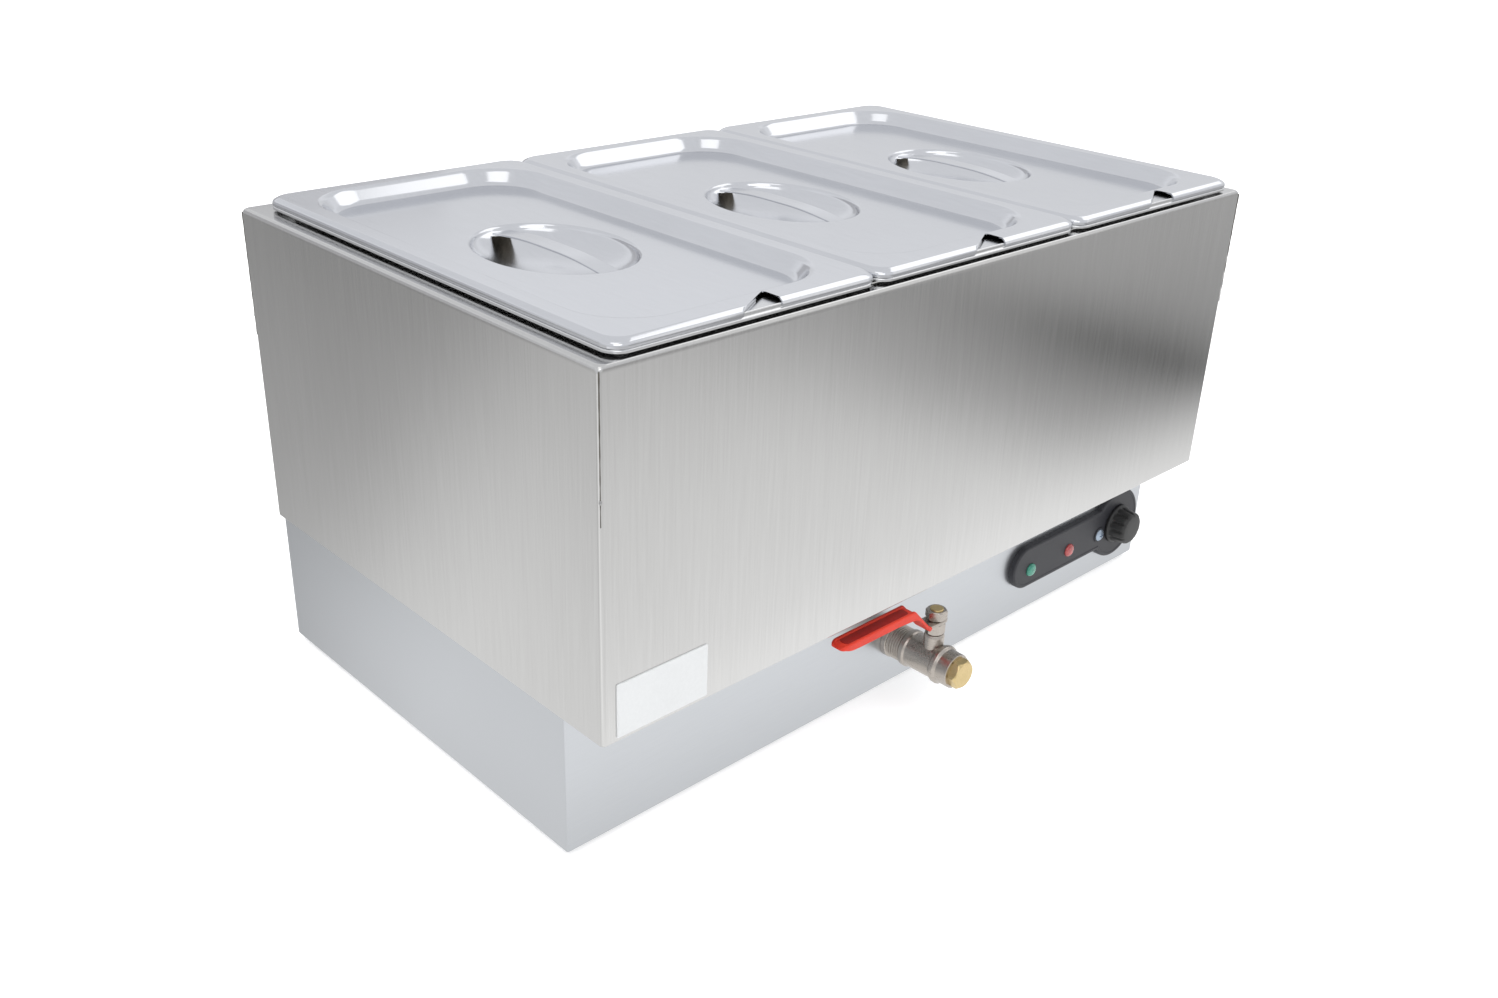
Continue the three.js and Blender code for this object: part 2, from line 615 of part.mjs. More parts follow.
function clampNut() {
  return hexNut(8, CLAMP_TOP - 1.5 - 4, CLAMP_TOP - 1.5, 2.8);
}

// ---- Thermostat -----------------------------------------------------------------------------
const THERMOSTAT = { front: BASE.front + 4, depth: 30, halfWidth: 19, halfHeight: 17 };

function thermostatBody() {
  const { front, depth, halfWidth, halfHeight } = THERMOSTAT;
  const [x, z] = [FASCIA.lobeX, FASCIA.z];
  const housing = block(x - halfWidth, x + halfWidth, front, front + depth, z - halfHeight, z + halfHeight);
  const lugs = [-10, 10].map((dx) => rodY(4, BASE.front + SHEET, front + 1, x + dx, z, 16));
  const bushing = rodY(SPINDLE_RADIUS + 1.6, BASE.front + 0.2, front + 1, x, z);
  const terminals = [-10, 0, 10].map((dx) => {
    return block(x + dx - 3, x + dx + 3, front + depth - 1, front + depth + 8, z - 0.4, z + 0.4);
  });
  const taps = [-10, 10].map((dx) => rodY(1.9, BASE.front - 10, front + 4, x + dx, z, 12));
  const spindleWell = rodY(SPINDLE_RADIUS + GAP, BASE.front - 10, front + 9, x, z);
  return cut(union(housing, ...lugs, bushing, ...terminals), ...taps, spindleWell);
}

function thermostatScrew() {
  const head = rodY(2.9, BASE.front - 1.8, BASE.front, 0, 0, 12);
  return union(head, rodY(1.6, BASE.front - 0.2, THERMOSTAT.front + 3, 0, 0, 8));
}

function thermostatSpindle() {
  const start = THERMOSTAT.front + 8.5;
  const end = FASCIA_FACE - KNOB.height + 4;
  const shaft = rodY(SPINDLE_RADIUS, end, start, 0, 0, 20);
  return cut(shaft, block(-5, 5, end - 1, FASCIA_FACE - 2, 1.6, 5));
}

// The capillary runs from the thermostat up to a bulb clipped under the tank.
const BULB = { radius: 3, x: [60, 150], y: 95 };
const BULB_Z = TANK_UNDERSIDE - BULB.radius - GAP;

function sensingBulb() {
  const back = THERMOSTAT.front + THERMOSTAT.depth;
  const points = [
    new THREE.Vector3(FASCIA.lobeX, back + GAP, FASCIA.z + 12),
    new THREE.Vector3(FASCIA.lobeX, back + 30, FASCIA.z + 16),
    new THREE.Vector3(FASCIA.lobeX - 2, BULB.y - 110, 90),
    new THREE.Vector3(FASCIA.lobeX - 20, BULB.y - 40, 122),
    new THREE.Vector3(FASCIA.lobeX - 50, BULB.y, BULB_Z),
    new THREE.Vector3(BULB.x[1] - 1, BULB.y, BULB_Z),
  ];
  const section = new THREE.Shape().absarc(0, 0, 1, 0, 2 * Math.PI);
  const path = new THREE.CatmullRomCurve3(points);
  const capillary = solid(new THREE.ExtrudeGeometry(section, { steps: 18, extrudePath: path, curveSegments: 3 }));
  const length = BULB.x[1] - BULB.x[0];
  const bulb = new THREE.CylinderGeometry(BULB.radius, BULB.radius, length, 12).rotateZ(Math.PI / 2);
  return union(capillary, solid(bulb.translate((BULB.x[0] + BULB.x[1]) / 2, BULB.y, BULB_Z)));
}

function bulbClip() {
  const top = TANK_UNDERSIDE;
  const x = (BULB.x[0] + BULB.x[1]) / 2;
  const outer = block(x - 6, x + 6, BULB.y - 4.3, BULB.y + 4.3, top - 8, top);
  const slot = block(x - 7, x + 7, BULB.y - 3.3, BULB.y + 3.3, top - 7, top + 1);
  const wings = block(x - 6, x + 6, BULB.y - 12, BULB.y + 12, top - 0.8, top);
  return cut(union(outer, wings), slot);
}

// ---- Control fascia, lamps and knob ----------------------------------------------------------
function fasciaOutline() {
  const { left, halfHeight, lobeX, lobeRadius } = FASCIA;
  const join = Math.asin(halfHeight / lobeRadius);
  const shape = new THREE.Shape();
  shape.absarc(left + halfHeight, 0, halfHeight, Math.PI / 2, 1.5 * Math.PI);
  shape.absarc(lobeX, 0, lobeRadius, Math.PI + join, 3 * Math.PI - join);
  return shape;
}

function fascia() {
  const edge = 1.5;
  const options = {
    depth: FASCIA.thickness - edge,
    curveSegments: 10,
    bevelThickness: edge,
    bevelSize: edge,
    bevelOffset: -edge,
    bevelSegments: 2,
  };
  const plate = new THREE.ExtrudeGeometry(fasciaOutline(), options).rotateX(Math.PI / 2);
  const cover = solid(plate.translate(0, BASE.front, FASCIA.z));
  const behind = block(0, 300, BASE.front, BASE.front + 50, 0, BASE_TOP);
  const hole = (radius, x, z) => rodY(radius, BASE.front - 20, BASE.front + 5, x, z);
  const screwRoom = rodY(14, BASE.front - 2.2, BASE.front + 1, FASCIA.lobeX, FASCIA.z);
  return cut(
    cover,
    behind,
    hole(LAMPS.radius + 0.1, LAMPS.green, LAMPS.z),
    hole(LAMPS.radius + 0.1, LAMPS.red, LAMPS.z),
    hole(1.8, FASCIA_SCREW_X, LAMPS.z),
    hole(SPINDLE_RADIUS + 1.5, FASCIA.lobeX, FASCIA.z),
    screwRoom,
  );
}

// A push-in neon lamp: domed lens in front, narrower body behind the base's front sheet.
function lamp() {
  const face = FASCIA.thickness;
  const r = LAMPS.radius;
  return turnedForward(
    [[0, -18], [r - 0.8, -18], [r - 0.8, 0], [r, 0], [r, face + 0.6], [r - 1.4, face + 1.8], [0, face + 2.2]],
    16,
  );
}

function fasciaScrew() {
  const face = FASCIA.thickness;
  const body = turnedForward(
    [[0, -7], [1.5, -7], [1.5, face], [4.2, face], [4.2, face + 0.9], [2.8, face + 2.1], [0, face + 2.5]],
    16,
  );
  const arms = [block(-2.2, 2.2, -face - 5, -face - 1.4, -0.4, 0.4), block(-0.4, 0.4, -face - 5, -face - 1.4, -2.2, 2.2)];
  return cut(body, ...arms);
}

function controlKnob() {
  const { skirt, foot: foot_, tip, height, socket } = KNOB;
  const body = turnedForward(
    [[0, GAP], [skirt, GAP], [skirt, 2], [foot_, 3], [tip, height - 1.4], [tip - 1.4, height], [0, height]],
    24,
  );
  const flutes = [];
  for (let i = 0; i < 12; i += 1) {
    const angle = (i / 12) * 2 * Math.PI;
    const at = foot_ + 1.1;
    flutes.push(rodY(2, -height - 1, -3, at * Math.cos(angle), at * Math.sin(angle), 6));
  }
  const pointer = block(-0.6, 0.6, -height - 1, -height + 0.5, 3, tip - 0.5);
  return cut(body, ...flutes, pointer, rodY(socket, -height + 3.6, 1));
}

// ---- Wiring entry ----------------------------------------------------------------------------
function cableGland() {
  const outside = BASE.back;
  const body = union(
    rodY(hexRadius(19), outside, outside + 5, 0, 0, 6),
    rodY(GLAND.radius, outside - 9, outside + 0.5),
    turnedForward([[0, -18], [7, -18], [8.6, -15.5], [8.6, -4], [0, -4]], 20).translate([0, outside, 0]),
  );
  return cut(body, rodY(4, outside - 20, outside + 30));
}

function glandNut() {
  const inside = BASE.back - SHEET;
  const nut = rodY(hexRadius(20), inside - 4, inside, 0, 0, 6);
  return cut(nut, rodY(GLAND.radius + GAP, inside - 8, inside + 2));
}

function terminalBlock() {
  const z = BASE.bottom + SHEET;
  const housing = block(-24, 24, -10, 10, z, z + 17);
  const cells = [-16, 0, 16].map((x) => {
    const screws = [-5, 5].map((y) => rodZ(2.4, z + 9, z + 30, x, y, 8));
    return union(...screws, rodY(1.8, -20, 20, x, z + 6, 8));
  });
  return cut(housing, ...cells);
}

// ---- Blank name badge on the front ------------------------------------------------------------
function nameBadge() {
  const { width, height, thickness } = BADGE;
  const shape = roundedRect(width, height, 1);
  const plate = new THREE.ExtrudeGeometry(shape, { depth: thickness, bevelEnabled: false, curveSegments: 3 });
  return solid(plate.rotateX(Math.PI / 2));
}

// ---- Assembly ---------------------------------------------------------------------------------
function addBody() {
  addMesh('upper_casing', upperCasing(), 'brushedSteel');
  addMesh('water_tank', waterTank(), 'satinSteel');
  addMesh('base_box', baseBox(), 'satinSteel');
  addMesh('bottom_plate', bottomPlate(), 'zincSteel');
  const badgePlace = [BADGE.x + BADGE.width / 2, -CASING.depth / 2, BADGE.z + BADGE.height / 2];
  addMesh('name_badge', nameBadge(), 'whiteLabel', badgePlace);
  footPlaces().forEach(([x, y], i) => {
    addMesh(`foot_${i + 1}`, foot(), 'rubber', [x, y, 0]);
    addMesh(`foot_screw_${i + 1}`, footScrew(), 'zincSteel', [x, y, 0]);
  });
}

function addPans() {
  for (let i = 0; i < PAN_COUNT; i += 1) {
    const place = [(i - (PAN_COUNT - 1) / 2) * PAN_PITCH, WELL_Y, 0];
    addMesh(`pan_${i + 1}`, pan(), 'polishedSteel', place);
    addMesh(`lid_${i + 1}`, lid(), 'polishedSteel', place);
    addMesh(`lid_grip_${i + 1}`, lidGrip(), 'polishedSteel', place);
  }
}

function addDrain() {
  addMesh('drain_pipe', drainPipe(), 'nickel');
  addMesh('drain_sleeve', drainSleeve(), 'rubber');
  addMesh('drain_locknut', drainLocknut(), 'nickel');
  const mouth = [DRAIN.x, BASE.front, DRAIN.z];
  addMesh('valve_body', valveBody(), 'nickel', mouth);
  addMesh('outlet_plug', outletPlug(), 'brass', mouth);
  const stem = [DRAIN.x, VALVE_STEM_Y, DRAIN.z];
  addMesh('valve_ball', valveBall(), 'nickel', stem);
  addMesh('valve_stem', valveStem(), 'brass', stem);
  addMesh('packing_nut', hexNut(11, 19.5, LEVER.plate - DRAIN.z - GAP, STEM.radius + GAP), 'nickel', stem);
  const nutFoot = LEVER.plate - DRAIN.z + LEVER.sheet;
  addMesh('lever_nut', hexNut(12, nutFoot, nutFoot + 6.5, STEM.radius + GAP), 'nickel', stem);
  addMesh('valve_lever', valveLever(), 'redVinyl', [DRAIN.x, VALVE_STEM_Y, 0]);
}

function addHeating() {
  addMesh('heating_element', heatingElement(), 'zincSteel');
  [-STUD_X, STUD_X].forEach((x, i) => {
    addMesh(`element_clamp_${i + 1}`, elementClamp(), 'zincSteel', [x, 0, 0]);
    addMesh(`clamp_nut_${i + 1}`, clampNut(), 'zincSteel', [x, WELL_Y, 0]);
  });
  addMesh('sensing_bulb', sensingBulb(), 'brass');
  addMesh('bulb_clip', bulbClip(), 'zincSteel');
}

function addControls() {
  addMesh('control_fascia', fascia(), 'charcoalPlastic');
  addMesh('green_lamp', lamp(), 'greenLens', [LAMPS.green, BASE.front, LAMPS.z]);
  addMesh('red_lamp', lamp(), 'redLens', [LAMPS.red, BASE.front, LAMPS.z]);
  addMesh('fascia_screw', fasciaScrew(), 'nickel', [FASCIA_SCREW_X, BASE.front, LAMPS.z]);
  addMesh('thermostat_body', thermostatBody(), 'ceramic');
  [-10, 10].forEach((dx, i) => {
    addMesh(`thermostat_screw_${i + 1}`, thermostatScrew(), 'zincSteel', [FASCIA.lobeX + dx, 0, FASCIA.z]);
  });
  addMesh('thermostat_spindle', thermostatSpindle(), 'brass', [FASCIA.lobeX, 0, FASCIA.z]);
  addMesh('control_knob', controlKnob(), 'blackPlastic', [FASCIA.lobeX, FASCIA_FACE, FASCIA.z]);
}

function addWiring() {
  addMesh('cable_gland', cableGland(), 'blackPlastic', [GLAND.x, 0, GLAND.z]);
  addMesh('gland_nut', glandNut(), 'blackPlastic', [GLAND.x, 0, GLAND.z]);
  addMesh('terminal_block', terminalBlock(), 'ceramic', [GLAND.x, 40, 0]);
}

addBody();
addPans();
addDrain();
addHeating();
addControls();
addWiring();

// The origin is the middle of the object's footprint, on the surface it stands on.
const extent = new THREE.Box3().setFromObject(unit);
unit.position.set(-(extent.min.x + extent.max.x) / 2, -(extent.min.y + extent.max.y) / 2, 0);
group.updateMatrixWorld(true);

export default group;
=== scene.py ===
"""Looks of a countertop bain marie: three lidded pans, drain valve with lever, control fascia.

Shapes are written in millimetres and turned into metres when a mesh is made. The front faces -y.
"""
import json
import math

import bmesh
import bpy
from mathutils import Matrix, Vector


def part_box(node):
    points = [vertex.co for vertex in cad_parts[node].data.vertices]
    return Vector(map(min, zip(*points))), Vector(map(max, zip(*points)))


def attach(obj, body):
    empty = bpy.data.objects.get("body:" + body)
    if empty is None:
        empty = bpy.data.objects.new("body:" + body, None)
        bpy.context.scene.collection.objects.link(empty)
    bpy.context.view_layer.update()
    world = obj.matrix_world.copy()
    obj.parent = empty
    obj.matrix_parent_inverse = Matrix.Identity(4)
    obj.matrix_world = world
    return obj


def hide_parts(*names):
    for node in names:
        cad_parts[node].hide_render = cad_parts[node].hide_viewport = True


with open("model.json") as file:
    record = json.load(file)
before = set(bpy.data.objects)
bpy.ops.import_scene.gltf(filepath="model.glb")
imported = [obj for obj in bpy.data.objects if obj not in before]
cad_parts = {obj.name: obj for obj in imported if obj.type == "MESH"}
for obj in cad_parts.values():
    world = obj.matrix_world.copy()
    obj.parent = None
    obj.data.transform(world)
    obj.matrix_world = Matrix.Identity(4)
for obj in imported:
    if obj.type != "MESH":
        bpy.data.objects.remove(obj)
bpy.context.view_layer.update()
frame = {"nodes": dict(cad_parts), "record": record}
MM = 0.001


def box_mm(node):
    """(lowest corner, highest corner) of a CAD node in millimetres."""
    low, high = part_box(node)
    return low / MM, high / MM


# ---- Dimensions shared with the CAD, in millimetres ---------------------------------------------
SHEET = 1.2  # casing and base
TANK_SHEET = 1.0
PAN_SHEET = 0.8  # pans and lids

CASING_LOW, CASING_HIGH = box_mm("upper_casing")
BASE_LOW, BASE_HIGH = box_mm("base_box")
BASE_FRONT = BASE_LOW.y
BASE_FLANGE, BASE_FOOT_FLANGE = 14, 36
CASING_TOP = BASE_HIGH.z + 201.5

TANK_TOP = box_mm("water_tank")[1].z
TANK_FLOOR = 140.0
TANK_HALF = (255.0, 154.0, 14.0)  # half length, half depth, corner radius
DRAIN_X, DRAIN_Y = -12, -85

PAN_PITCH = 176.6
PAN_RIM_DROP = 4.4
PAN_DRAFT = 0.033
PAN_MOUTH = (76.2, 148.7)  # half width, half length
RIM_NOTCH_FLOOR = box_mm("pan_1")[1].z - PAN_RIM_DROP - 0.3

LID_HALF = (88.0, 162.5)
LID_EDGE_DROP = 4.4
LID_EDGE_COVER = 0.9  # the pan's edge stands this far inside the lid's
RECESS_DEPTH = 9.0
RECESS_LEAN = 0.75 * RECESS_DEPTH
DISH_DEPTH = 13.0
DISH_HALF = (41.5, 54.2)
STRAP_HALF = (6.0, 54.0)

VALVE_X, VALVE_Z = -12.0, 38.0
STEM_Y = -163.0
VALVE_LENGTH = 53
EYE_RISE = 3.4  # the lever's eye and its nuts show this far above their places in the CAD

FASCIA_X, FASCIA_Z = 236.0, 43.0  # axis of the knob and of the panel's lobe
FASCIA_THICKNESS = 5.0
GLAND_X, GLAND_Z = 200, 45

# ---- Mesh helpers -------------------------------------------------------------------------------
CORNER_SEGMENTS = 10
BEND_SEGMENTS = 6
SMOOTH_ANGLE = 35


def shade_smooth(mesh, angle=SMOOTH_ANGLE):
    for polygon in mesh.polygons:
        polygon.use_smooth = True
    mesh.set_sharp_from_angle(angle=math.radians(angle))


def even_normals(obj):
    modifier = obj.modifiers.new("even_normals", "WEIGHTED_NORMAL")
    modifier.keep_sharp = True
    modifier.weight = 90


def make_object(name, bm, smooth_angle=SMOOTH_ANGLE, weighted=True):
    """Turns a bmesh in millimetres into a smooth-shaded object in metres."""
    bmesh.ops.scale(bm, vec=(MM, MM, MM), verts=bm.verts)
    mesh = bpy.data.meshes.new(name)
    bm.to_mesh(mesh)
    bm.free()
    shade_smooth(mesh, smooth_angle)
    obj = bpy.data.objects.new(name, mesh)
    bpy.context.scene.collection.objects.link(obj)
    if weighted:
        even_normals(obj)
    return obj


def finish_piece(obj, body, material, replaces=()):
    obj.data.materials.clear()
    obj.data.materials.append(material)
    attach(obj, body)
    if replaces:
        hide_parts(*replaces)


def rounded_rect(hx, hy, cy, radius, z, segments=CORNER_SEGMENTS, cx=0.0):
    """A level ring of points round a rounded rectangle, anticlockwise from above."""
    points = []
    for corner, (sx, sy) in enumerate([(1, 1), (-1, 1), (-1, -1), (1, -1)]):
        for i in range(segments + 1):
            angle = (corner + i / segments) * math.pi / 2
            x = cx + sx * (hx - radius) + radius * math.cos(angle)
            y = cy + sy * (hy - radius) + radius * math.sin(angle)
            points.append(Vector((x, y, z)))
    return points


def oval(hx, hy, cx, z, segments=CORNER_SEGMENTS):
    """A level oval ring with as many points as a rounded rectangle."""
    points = []
    for corner in range(4):
        for i in range(segments + 1):
            angle = (corner + (i + 0.5) / (segments + 1)) * math.pi / 2
            points.append(Vector((cx + hx * math.cos(angle), hy * math.sin(angle), z)))
    return points


def filleted(points, segments=BEND_SEGMENTS, closed=False):
    """Rounds the corners of a polyline. Each point is a tuple that ends with its fillet size."""
    smooth = []
    count = len(points)
    for k, (*here, fillet) in enumerate(points):
        inner = 0 < k < count - 1 or closed
        if fillet <= 0 or not inner:
            smooth.append(tuple(here))
            continue
        ends = []
        for other in (points[k - 1], points[(k + 1) % count]):
            span = max(math.hypot(*(b - a for a, b in zip(here, other[:-1]))), 1e-6)
            share = 0.49 if other[-1] > 0 else 0.98  # two fillets on one side get half of it each
            t = min(fillet, span * share) / span
            ends.append([a + (b - a) * t for a, b in zip(here, other[:-1])])
        for i in range(segments + 1):
            t = i / segments
            weights = ((1 - t) ** 2, 2 * t * (1 - t), t * t)
            trios = zip(ends[0], here, ends[1])
            smooth.append(tuple(sum(w * p for w, p in zip(weights, trio)) for trio in trios))
    return smooth


def bridge(bm, rings, closed=False, cap_start=False, cap_end=False):
    """Joins rings of equally many points with quads."""
    loops = [[bm.verts.new(point) for point in ring] for ring in rings]
    pairs = list(zip(loops, loops[1:]))
    if closed:
        pairs.append((loops[-1], loops[0]))
    for a, b in pairs:
        for j in range(len(a)):
            k = (j + 1) % len(a)
            bm.faces.new((a[j], a[k], b[k], b[j]))
    if cap_start:
        bm.faces.new(list(reversed(loops[0])))
    if cap_end:
        bm.faces.new(loops[-1])


def lofted(name, rings, closed=False, **options):
    """A body through rings: the last one joins the first, or both ends are capped."""
    bm = bmesh.new()
    bridge(bm, rings, closed=closed, cap_start=not closed, cap_end=not closed)
    bmesh.ops.recalc_face_normals(bm, faces=bm.faces)
    return make_object(name, bm, **options)


def round_axis(origin, axis, radius, angle, height):
    """A point at this radius, angle and height of an axis, '+z' or '-y', that starts at origin."""
    u, v = radius * math.cos(angle), radius * math.sin(angle)
    return Vector(origin) + Vector((u, v, height) if axis == "+z" else (u, -height, v))


def turned_rings(profile, origin, axis, segments):
    """Rings round an axis from (radius, height) pairs."""
    angles = [2 * math.pi * i / segments for i in range(segments)]
    return [[round_axis(origin, axis, radius, a, z) for a in angles] for radius, z in profile]


def turned(name, profile, origin, axis="+z", segments=48, closed=False, **options):
    """A body turned from (radius, height, fillet) points."""
    rings = turned_rings(filleted(profile, 4, closed), origin, axis, segments)
    return lofted(name, rings, closed, **options)


def hexagonal(name, flats, heights, bore, origin, axis="+z", chamfer=0.9):
    """A nut or plug head with the curved chamfers of a turned hexagon."""
    bottom, top = heights
    sides, per_side = 6, 10
    face_radius = flats / 2 - 0.35
    corner_radius = flats / 2 / math.cos(math.pi / sides)
    steps = [(t, face_radius + (corner_radius - face_radius) * t) for t in (0.0, 0.35, 0.7, 1.0)]
    levels = [(bottom + chamfer * t, limit) for t, limit in steps]
    levels += [(top - chamfer * t, limit) for t, limit in reversed(steps)]
    rings = []
    for height, limit in levels:
        ring = []
        for i in range(sides * per_side):
            angle = 2 * math.pi * i / (sides * per_side)
            local = (angle % (2 * math.pi / sides)) - math.pi / sides
            radius = min(flats / 2 / math.cos(local), limit)
            ring.append(round_axis(origin, axis, radius, angle, height))
        rings.append(ring)
    if bore:
        rings += turned_rings([(bore, top), (bore, bottom)], origin, axis, sides * per_side)
    return lofted(name, rings, bool(bore), smooth_angle=28, weighted=False)


def carved(obj, cutters=()):
    """Applies obj's modifiers, cuts the cutter objects out of it for good and removes them."""
    for cutter in cutters:
        modifier = obj.modifiers.new("cut", "BOOLEAN")
        modifier.operation = "DIFFERENCE"
        modifier.solver = "EXACT"
        modifier.object = cutter
    for modifier in [m for m in obj.modifiers if m.type == "WEIGHTED_NORMAL"]:
        obj.modifiers.remove(modifier)
    bpy.context.view_layer.update()
    evaluated = obj.evaluated_get(bpy.context.evaluated_depsgraph_get())
    mesh = bpy.data.meshes.new_from_object(evaluated)
    obj.modifiers.clear()
    obj.data = mesh
    for cutter in cutters:
        bpy.data.objects.remove(cutter)
    bm = bmesh.new()
    bm.from_mesh(mesh)
    bmesh.ops.remove_doubles(bm, verts=bm.verts, dist=1e-6)
    bm.to_mesh(mesh)
    bm.free()
    shade_smooth(mesh)
    even_normals(obj)


def block_cutter(low, high):
    low, high = Vector(low), Vector(high)
    bm = bmesh.new()
    verts = bmesh.ops.create_cube(bm, size=1)["verts"]
    bmesh.ops.scale(bm, vec=high - low, verts=verts)
    bmesh.ops.translate(bm, vec=(low + high) / 2, verts=verts)
    return make_object("cutter", bm, weighted=False)


def rod_cutter(radius, origin, axis, low, high):
    return turned("cutter", [(radius, low, 0), (radius, high, 0)], origin, axis, 40, weighted=False)


# ---- Materials ----------------------------------------------------------------------------------
def link(tree, a, b):
    tree.links.new(a, b)


def set_sockets(node, **values):
    """Sets a node's input sockets; an underscore stands for a space in a socket's name."""
    for socket, value in values.items():
        node.inputs[socket.replace("_", " ")].default_value = value


def procedural(
    name,
    dark,
    light,
    rough=(0.3, 0.4),
    metallic=0.0,
    grain=(400, 400, 400),
    bump=0.1,
    bump_depth=0.00005,
    blotch=12.0,
    **sockets,
):
    """A finish whose colour, roughness and relief have a fine grain and faint, broad blotches."""
    material = bpy.data.materials.new(name)
    material.use_nodes = True
    tree = material.node_tree
    nodes = tree.nodes
    shader = nodes["Principled BSDF"]
    set_sockets(shader, Metallic=metallic, **sockets)

    place = nodes.new("ShaderNodeTexCoord")
    stretch = nodes.new("ShaderNodeMapping")
    set_sockets(stretch, Scale=grain)
    link(tree, place.outputs["Object"], stretch.inputs["Vector"])

    fine = nodes.new("ShaderNodeTexNoise")
    set_sockets(fine, Scale=1.0, Detail=3.0, Roughness=0.6)
    link(tree, stretch.outputs["Vector"], fine.inputs["Vector"])

    broad = nodes.new("ShaderNodeTexNoise")
    set_sockets(broad, Scale=blotch, Detail=2.0)
    link(tree, place.outputs["Object"], broad.inputs["Vector"])

    blend = nodes.new("ShaderNodeMix")
    blend.data_type = "FLOAT"
    set_sockets(blend, Factor=0.4)
    link(tree, fine.outputs["Fac"], blend.inputs["A"])
    link(tree, broad.outputs["Fac"], blend.inputs["B"])

    low, high = 0.3, 0.7  # almost all of the blended noise lies between these
    colour = nodes.new("ShaderNodeValToRGB")
    for element, position, tone in zip(colour.color_ramp.elements, (low, high), (dark, light)):
        element.position = position
        element.color = (*tone, 1)
    link(tree, blend.outputs["Result"], colour.inputs["Fac"])
    link(tree, colour.outputs["Color"], shader.inputs["Base Color"])

    spread = nodes.new("ShaderNodeMapRange")
    set_sockets(spread, From_Min=low, From_Max=high, To_Min=rough[0], To_Max=rough[1])
    link(tree, blend.outputs["Result"], spread.inputs["Value"])
    link(tree, spread.outputs["Result"], shader.inputs["Roughness"])

    relief = nodes.new("ShaderNodeBump")
    set_sockets(relief, Strength=bump, Distance=bump_depth)
    link(tree, fine.outputs["Fac"], relief.inputs["Height"])
    link(tree, relief.outputs["Normal"], shader.inputs["Normal"])
    return material


def grey(value, tint=(1.0, 1.0, 1.0)):
    return tuple(value * t for t in tint)


BASE_TINT = (0.93, 0.96, 1.0)
PAN_TINT = (0.985, 0.99, 1.0)
LID_TINT = (0.945, 0.96, 1.0)
CHARCOAL_TINT = (1.0, 1.02, 1.25)
LABEL_TINT = (0.985, 1.0, 1.0)

casing_steel = procedural(
    "brushed_casing_steel", grey(0.58, (1.0, 0.995, 0.985)), grey(0.64, (1.0, 0.998, 0.99)),
    rough=(0.16, 0.21), metallic=1.0, grain=(1100, 1100, 25), bump=0.06, bump_depth=0.00002,
    blotch=5.0,
)
base_steel = procedural(
    "satin_base_steel", grey(0.585, BASE_TINT), grey(0.63, BASE_TINT), rough=(0.28, 0.35),
    metallic=1.0, grain=(40, 1600, 1600), bump=0.05, bump_depth=0.00002, blotch=5.0,
)
tank_steel = procedural(
    "satin_tank_steel", grey(0.66), grey(0.76), metallic=0.6, grain=(40, 900, 900), blotch=7.0,
)
pan_steel = procedural(
    "polished_pan_steel", grey(0.68, PAN_TINT), grey(0.74, PAN_TINT), rough=(0.14, 0.22),
    metallic=1.0, grain=(700, 60, 700), bump=0.05, bump_depth=0.00002, blotch=9.0,
)
lid_steel = procedural(
    "polished_lid_steel", grey(0.685, LID_TINT), grey(0.73, LID_TINT), rough=(0.12, 0.17),
    metallic=1.0, grain=(500, 40, 500), bump=0.04, bump_depth=0.00002, blotch=9.0,
)
# Zinc plate; its bluish tone is a painted reflection of a bluish sky.
zinc_with_painted_blue_reflection = procedural(
    "zinc_screw_painted_blue_reflection", (0.36, 0.43, 0.52), (0.46, 0.54, 0.64), rough=(0.35, 0.5), metallic=1.0,
    grain=(300, 300, 300), blotch=40,
)
zinc = procedural(
    "zinc_plated_steel", grey(0.45), grey(0.6), rough=(0.4, 0.55), metallic=1.0,
    grain=(300, 300, 300), blotch=40,
)
nickel = procedural(
    "satin_nickel_plate", (0.38, 0.345, 0.31), (0.50, 0.46, 0.42), rough=(0.24, 0.34), metallic=1.0,
    grain=(500, 500, 900), bump_depth=0.00004, blotch=60,
)
brass = procedural(
    "turned_brass", (0.56, 0.43, 0.20), (0.72, 0.57, 0.31), rough=(0.28, 0.4), metallic=1.0,
    grain=(1200, 200, 1200), bump=0.2, bump_depth=0.00003, blotch=90,
)
VINYL = {"grain": (260, 260, 260), "bump": 0.18, "bump_depth": 0.00008, "blotch": 40}
red_vinyl = procedural(
    "dipped_red_vinyl", (0.50, 0.028, 0.014), (0.60, 0.04, 0.02), rough=(0.3, 0.42),
    Specular_IOR_Level=0.25, **VINYL,
)
# Painted shade: the lever's red vinyl made darker for its top, which lies in shade under the
# casing.
painted_shade_red_vinyl = procedural(
    "red_vinyl_painted_shade", (0.20, 0.007, 0.005), (0.28, 0.012, 0.008), rough=(0.35, 0.5),
    Specular_IOR_Level=0.25, **VINYL,
)
charcoal = procedural(
    "moulded_charcoal_plastic", grey(0.018, CHARCOAL_TINT), grey(0.027, CHARCOAL_TINT),
    rough=(0.42, 0.55), grain=(1800, 1800, 1800), bump=0.35, bump_depth=0.00004, blotch=30,
)
black_plastic = procedural(
    "moulded_black_plastic", grey(0.008), grey(0.016), rough=(0.36, 0.48), grain=(1500, 1500, 1500),
    bump=0.3, bump_depth=0.00004, blotch=40,
)
rubber = procedural(
    "matt_black_rubber", grey(0.012), grey(0.025), rough=(0.65, 0.85), grain=(900, 900, 900),
    bump=0.4, blotch=60,
)
LENS = {"rough": (0.12, 0.2), "grain": (350, 350, 350), "bump": 0.15, "bump_depth": 0.0001}
LENS |= {"blotch": 150, "Coat_Weight": 0.6}
green_lens = procedural("green_lamp_lens", (0.01, 0.17, 0.11), (0.03, 0.26, 0.18), **LENS)
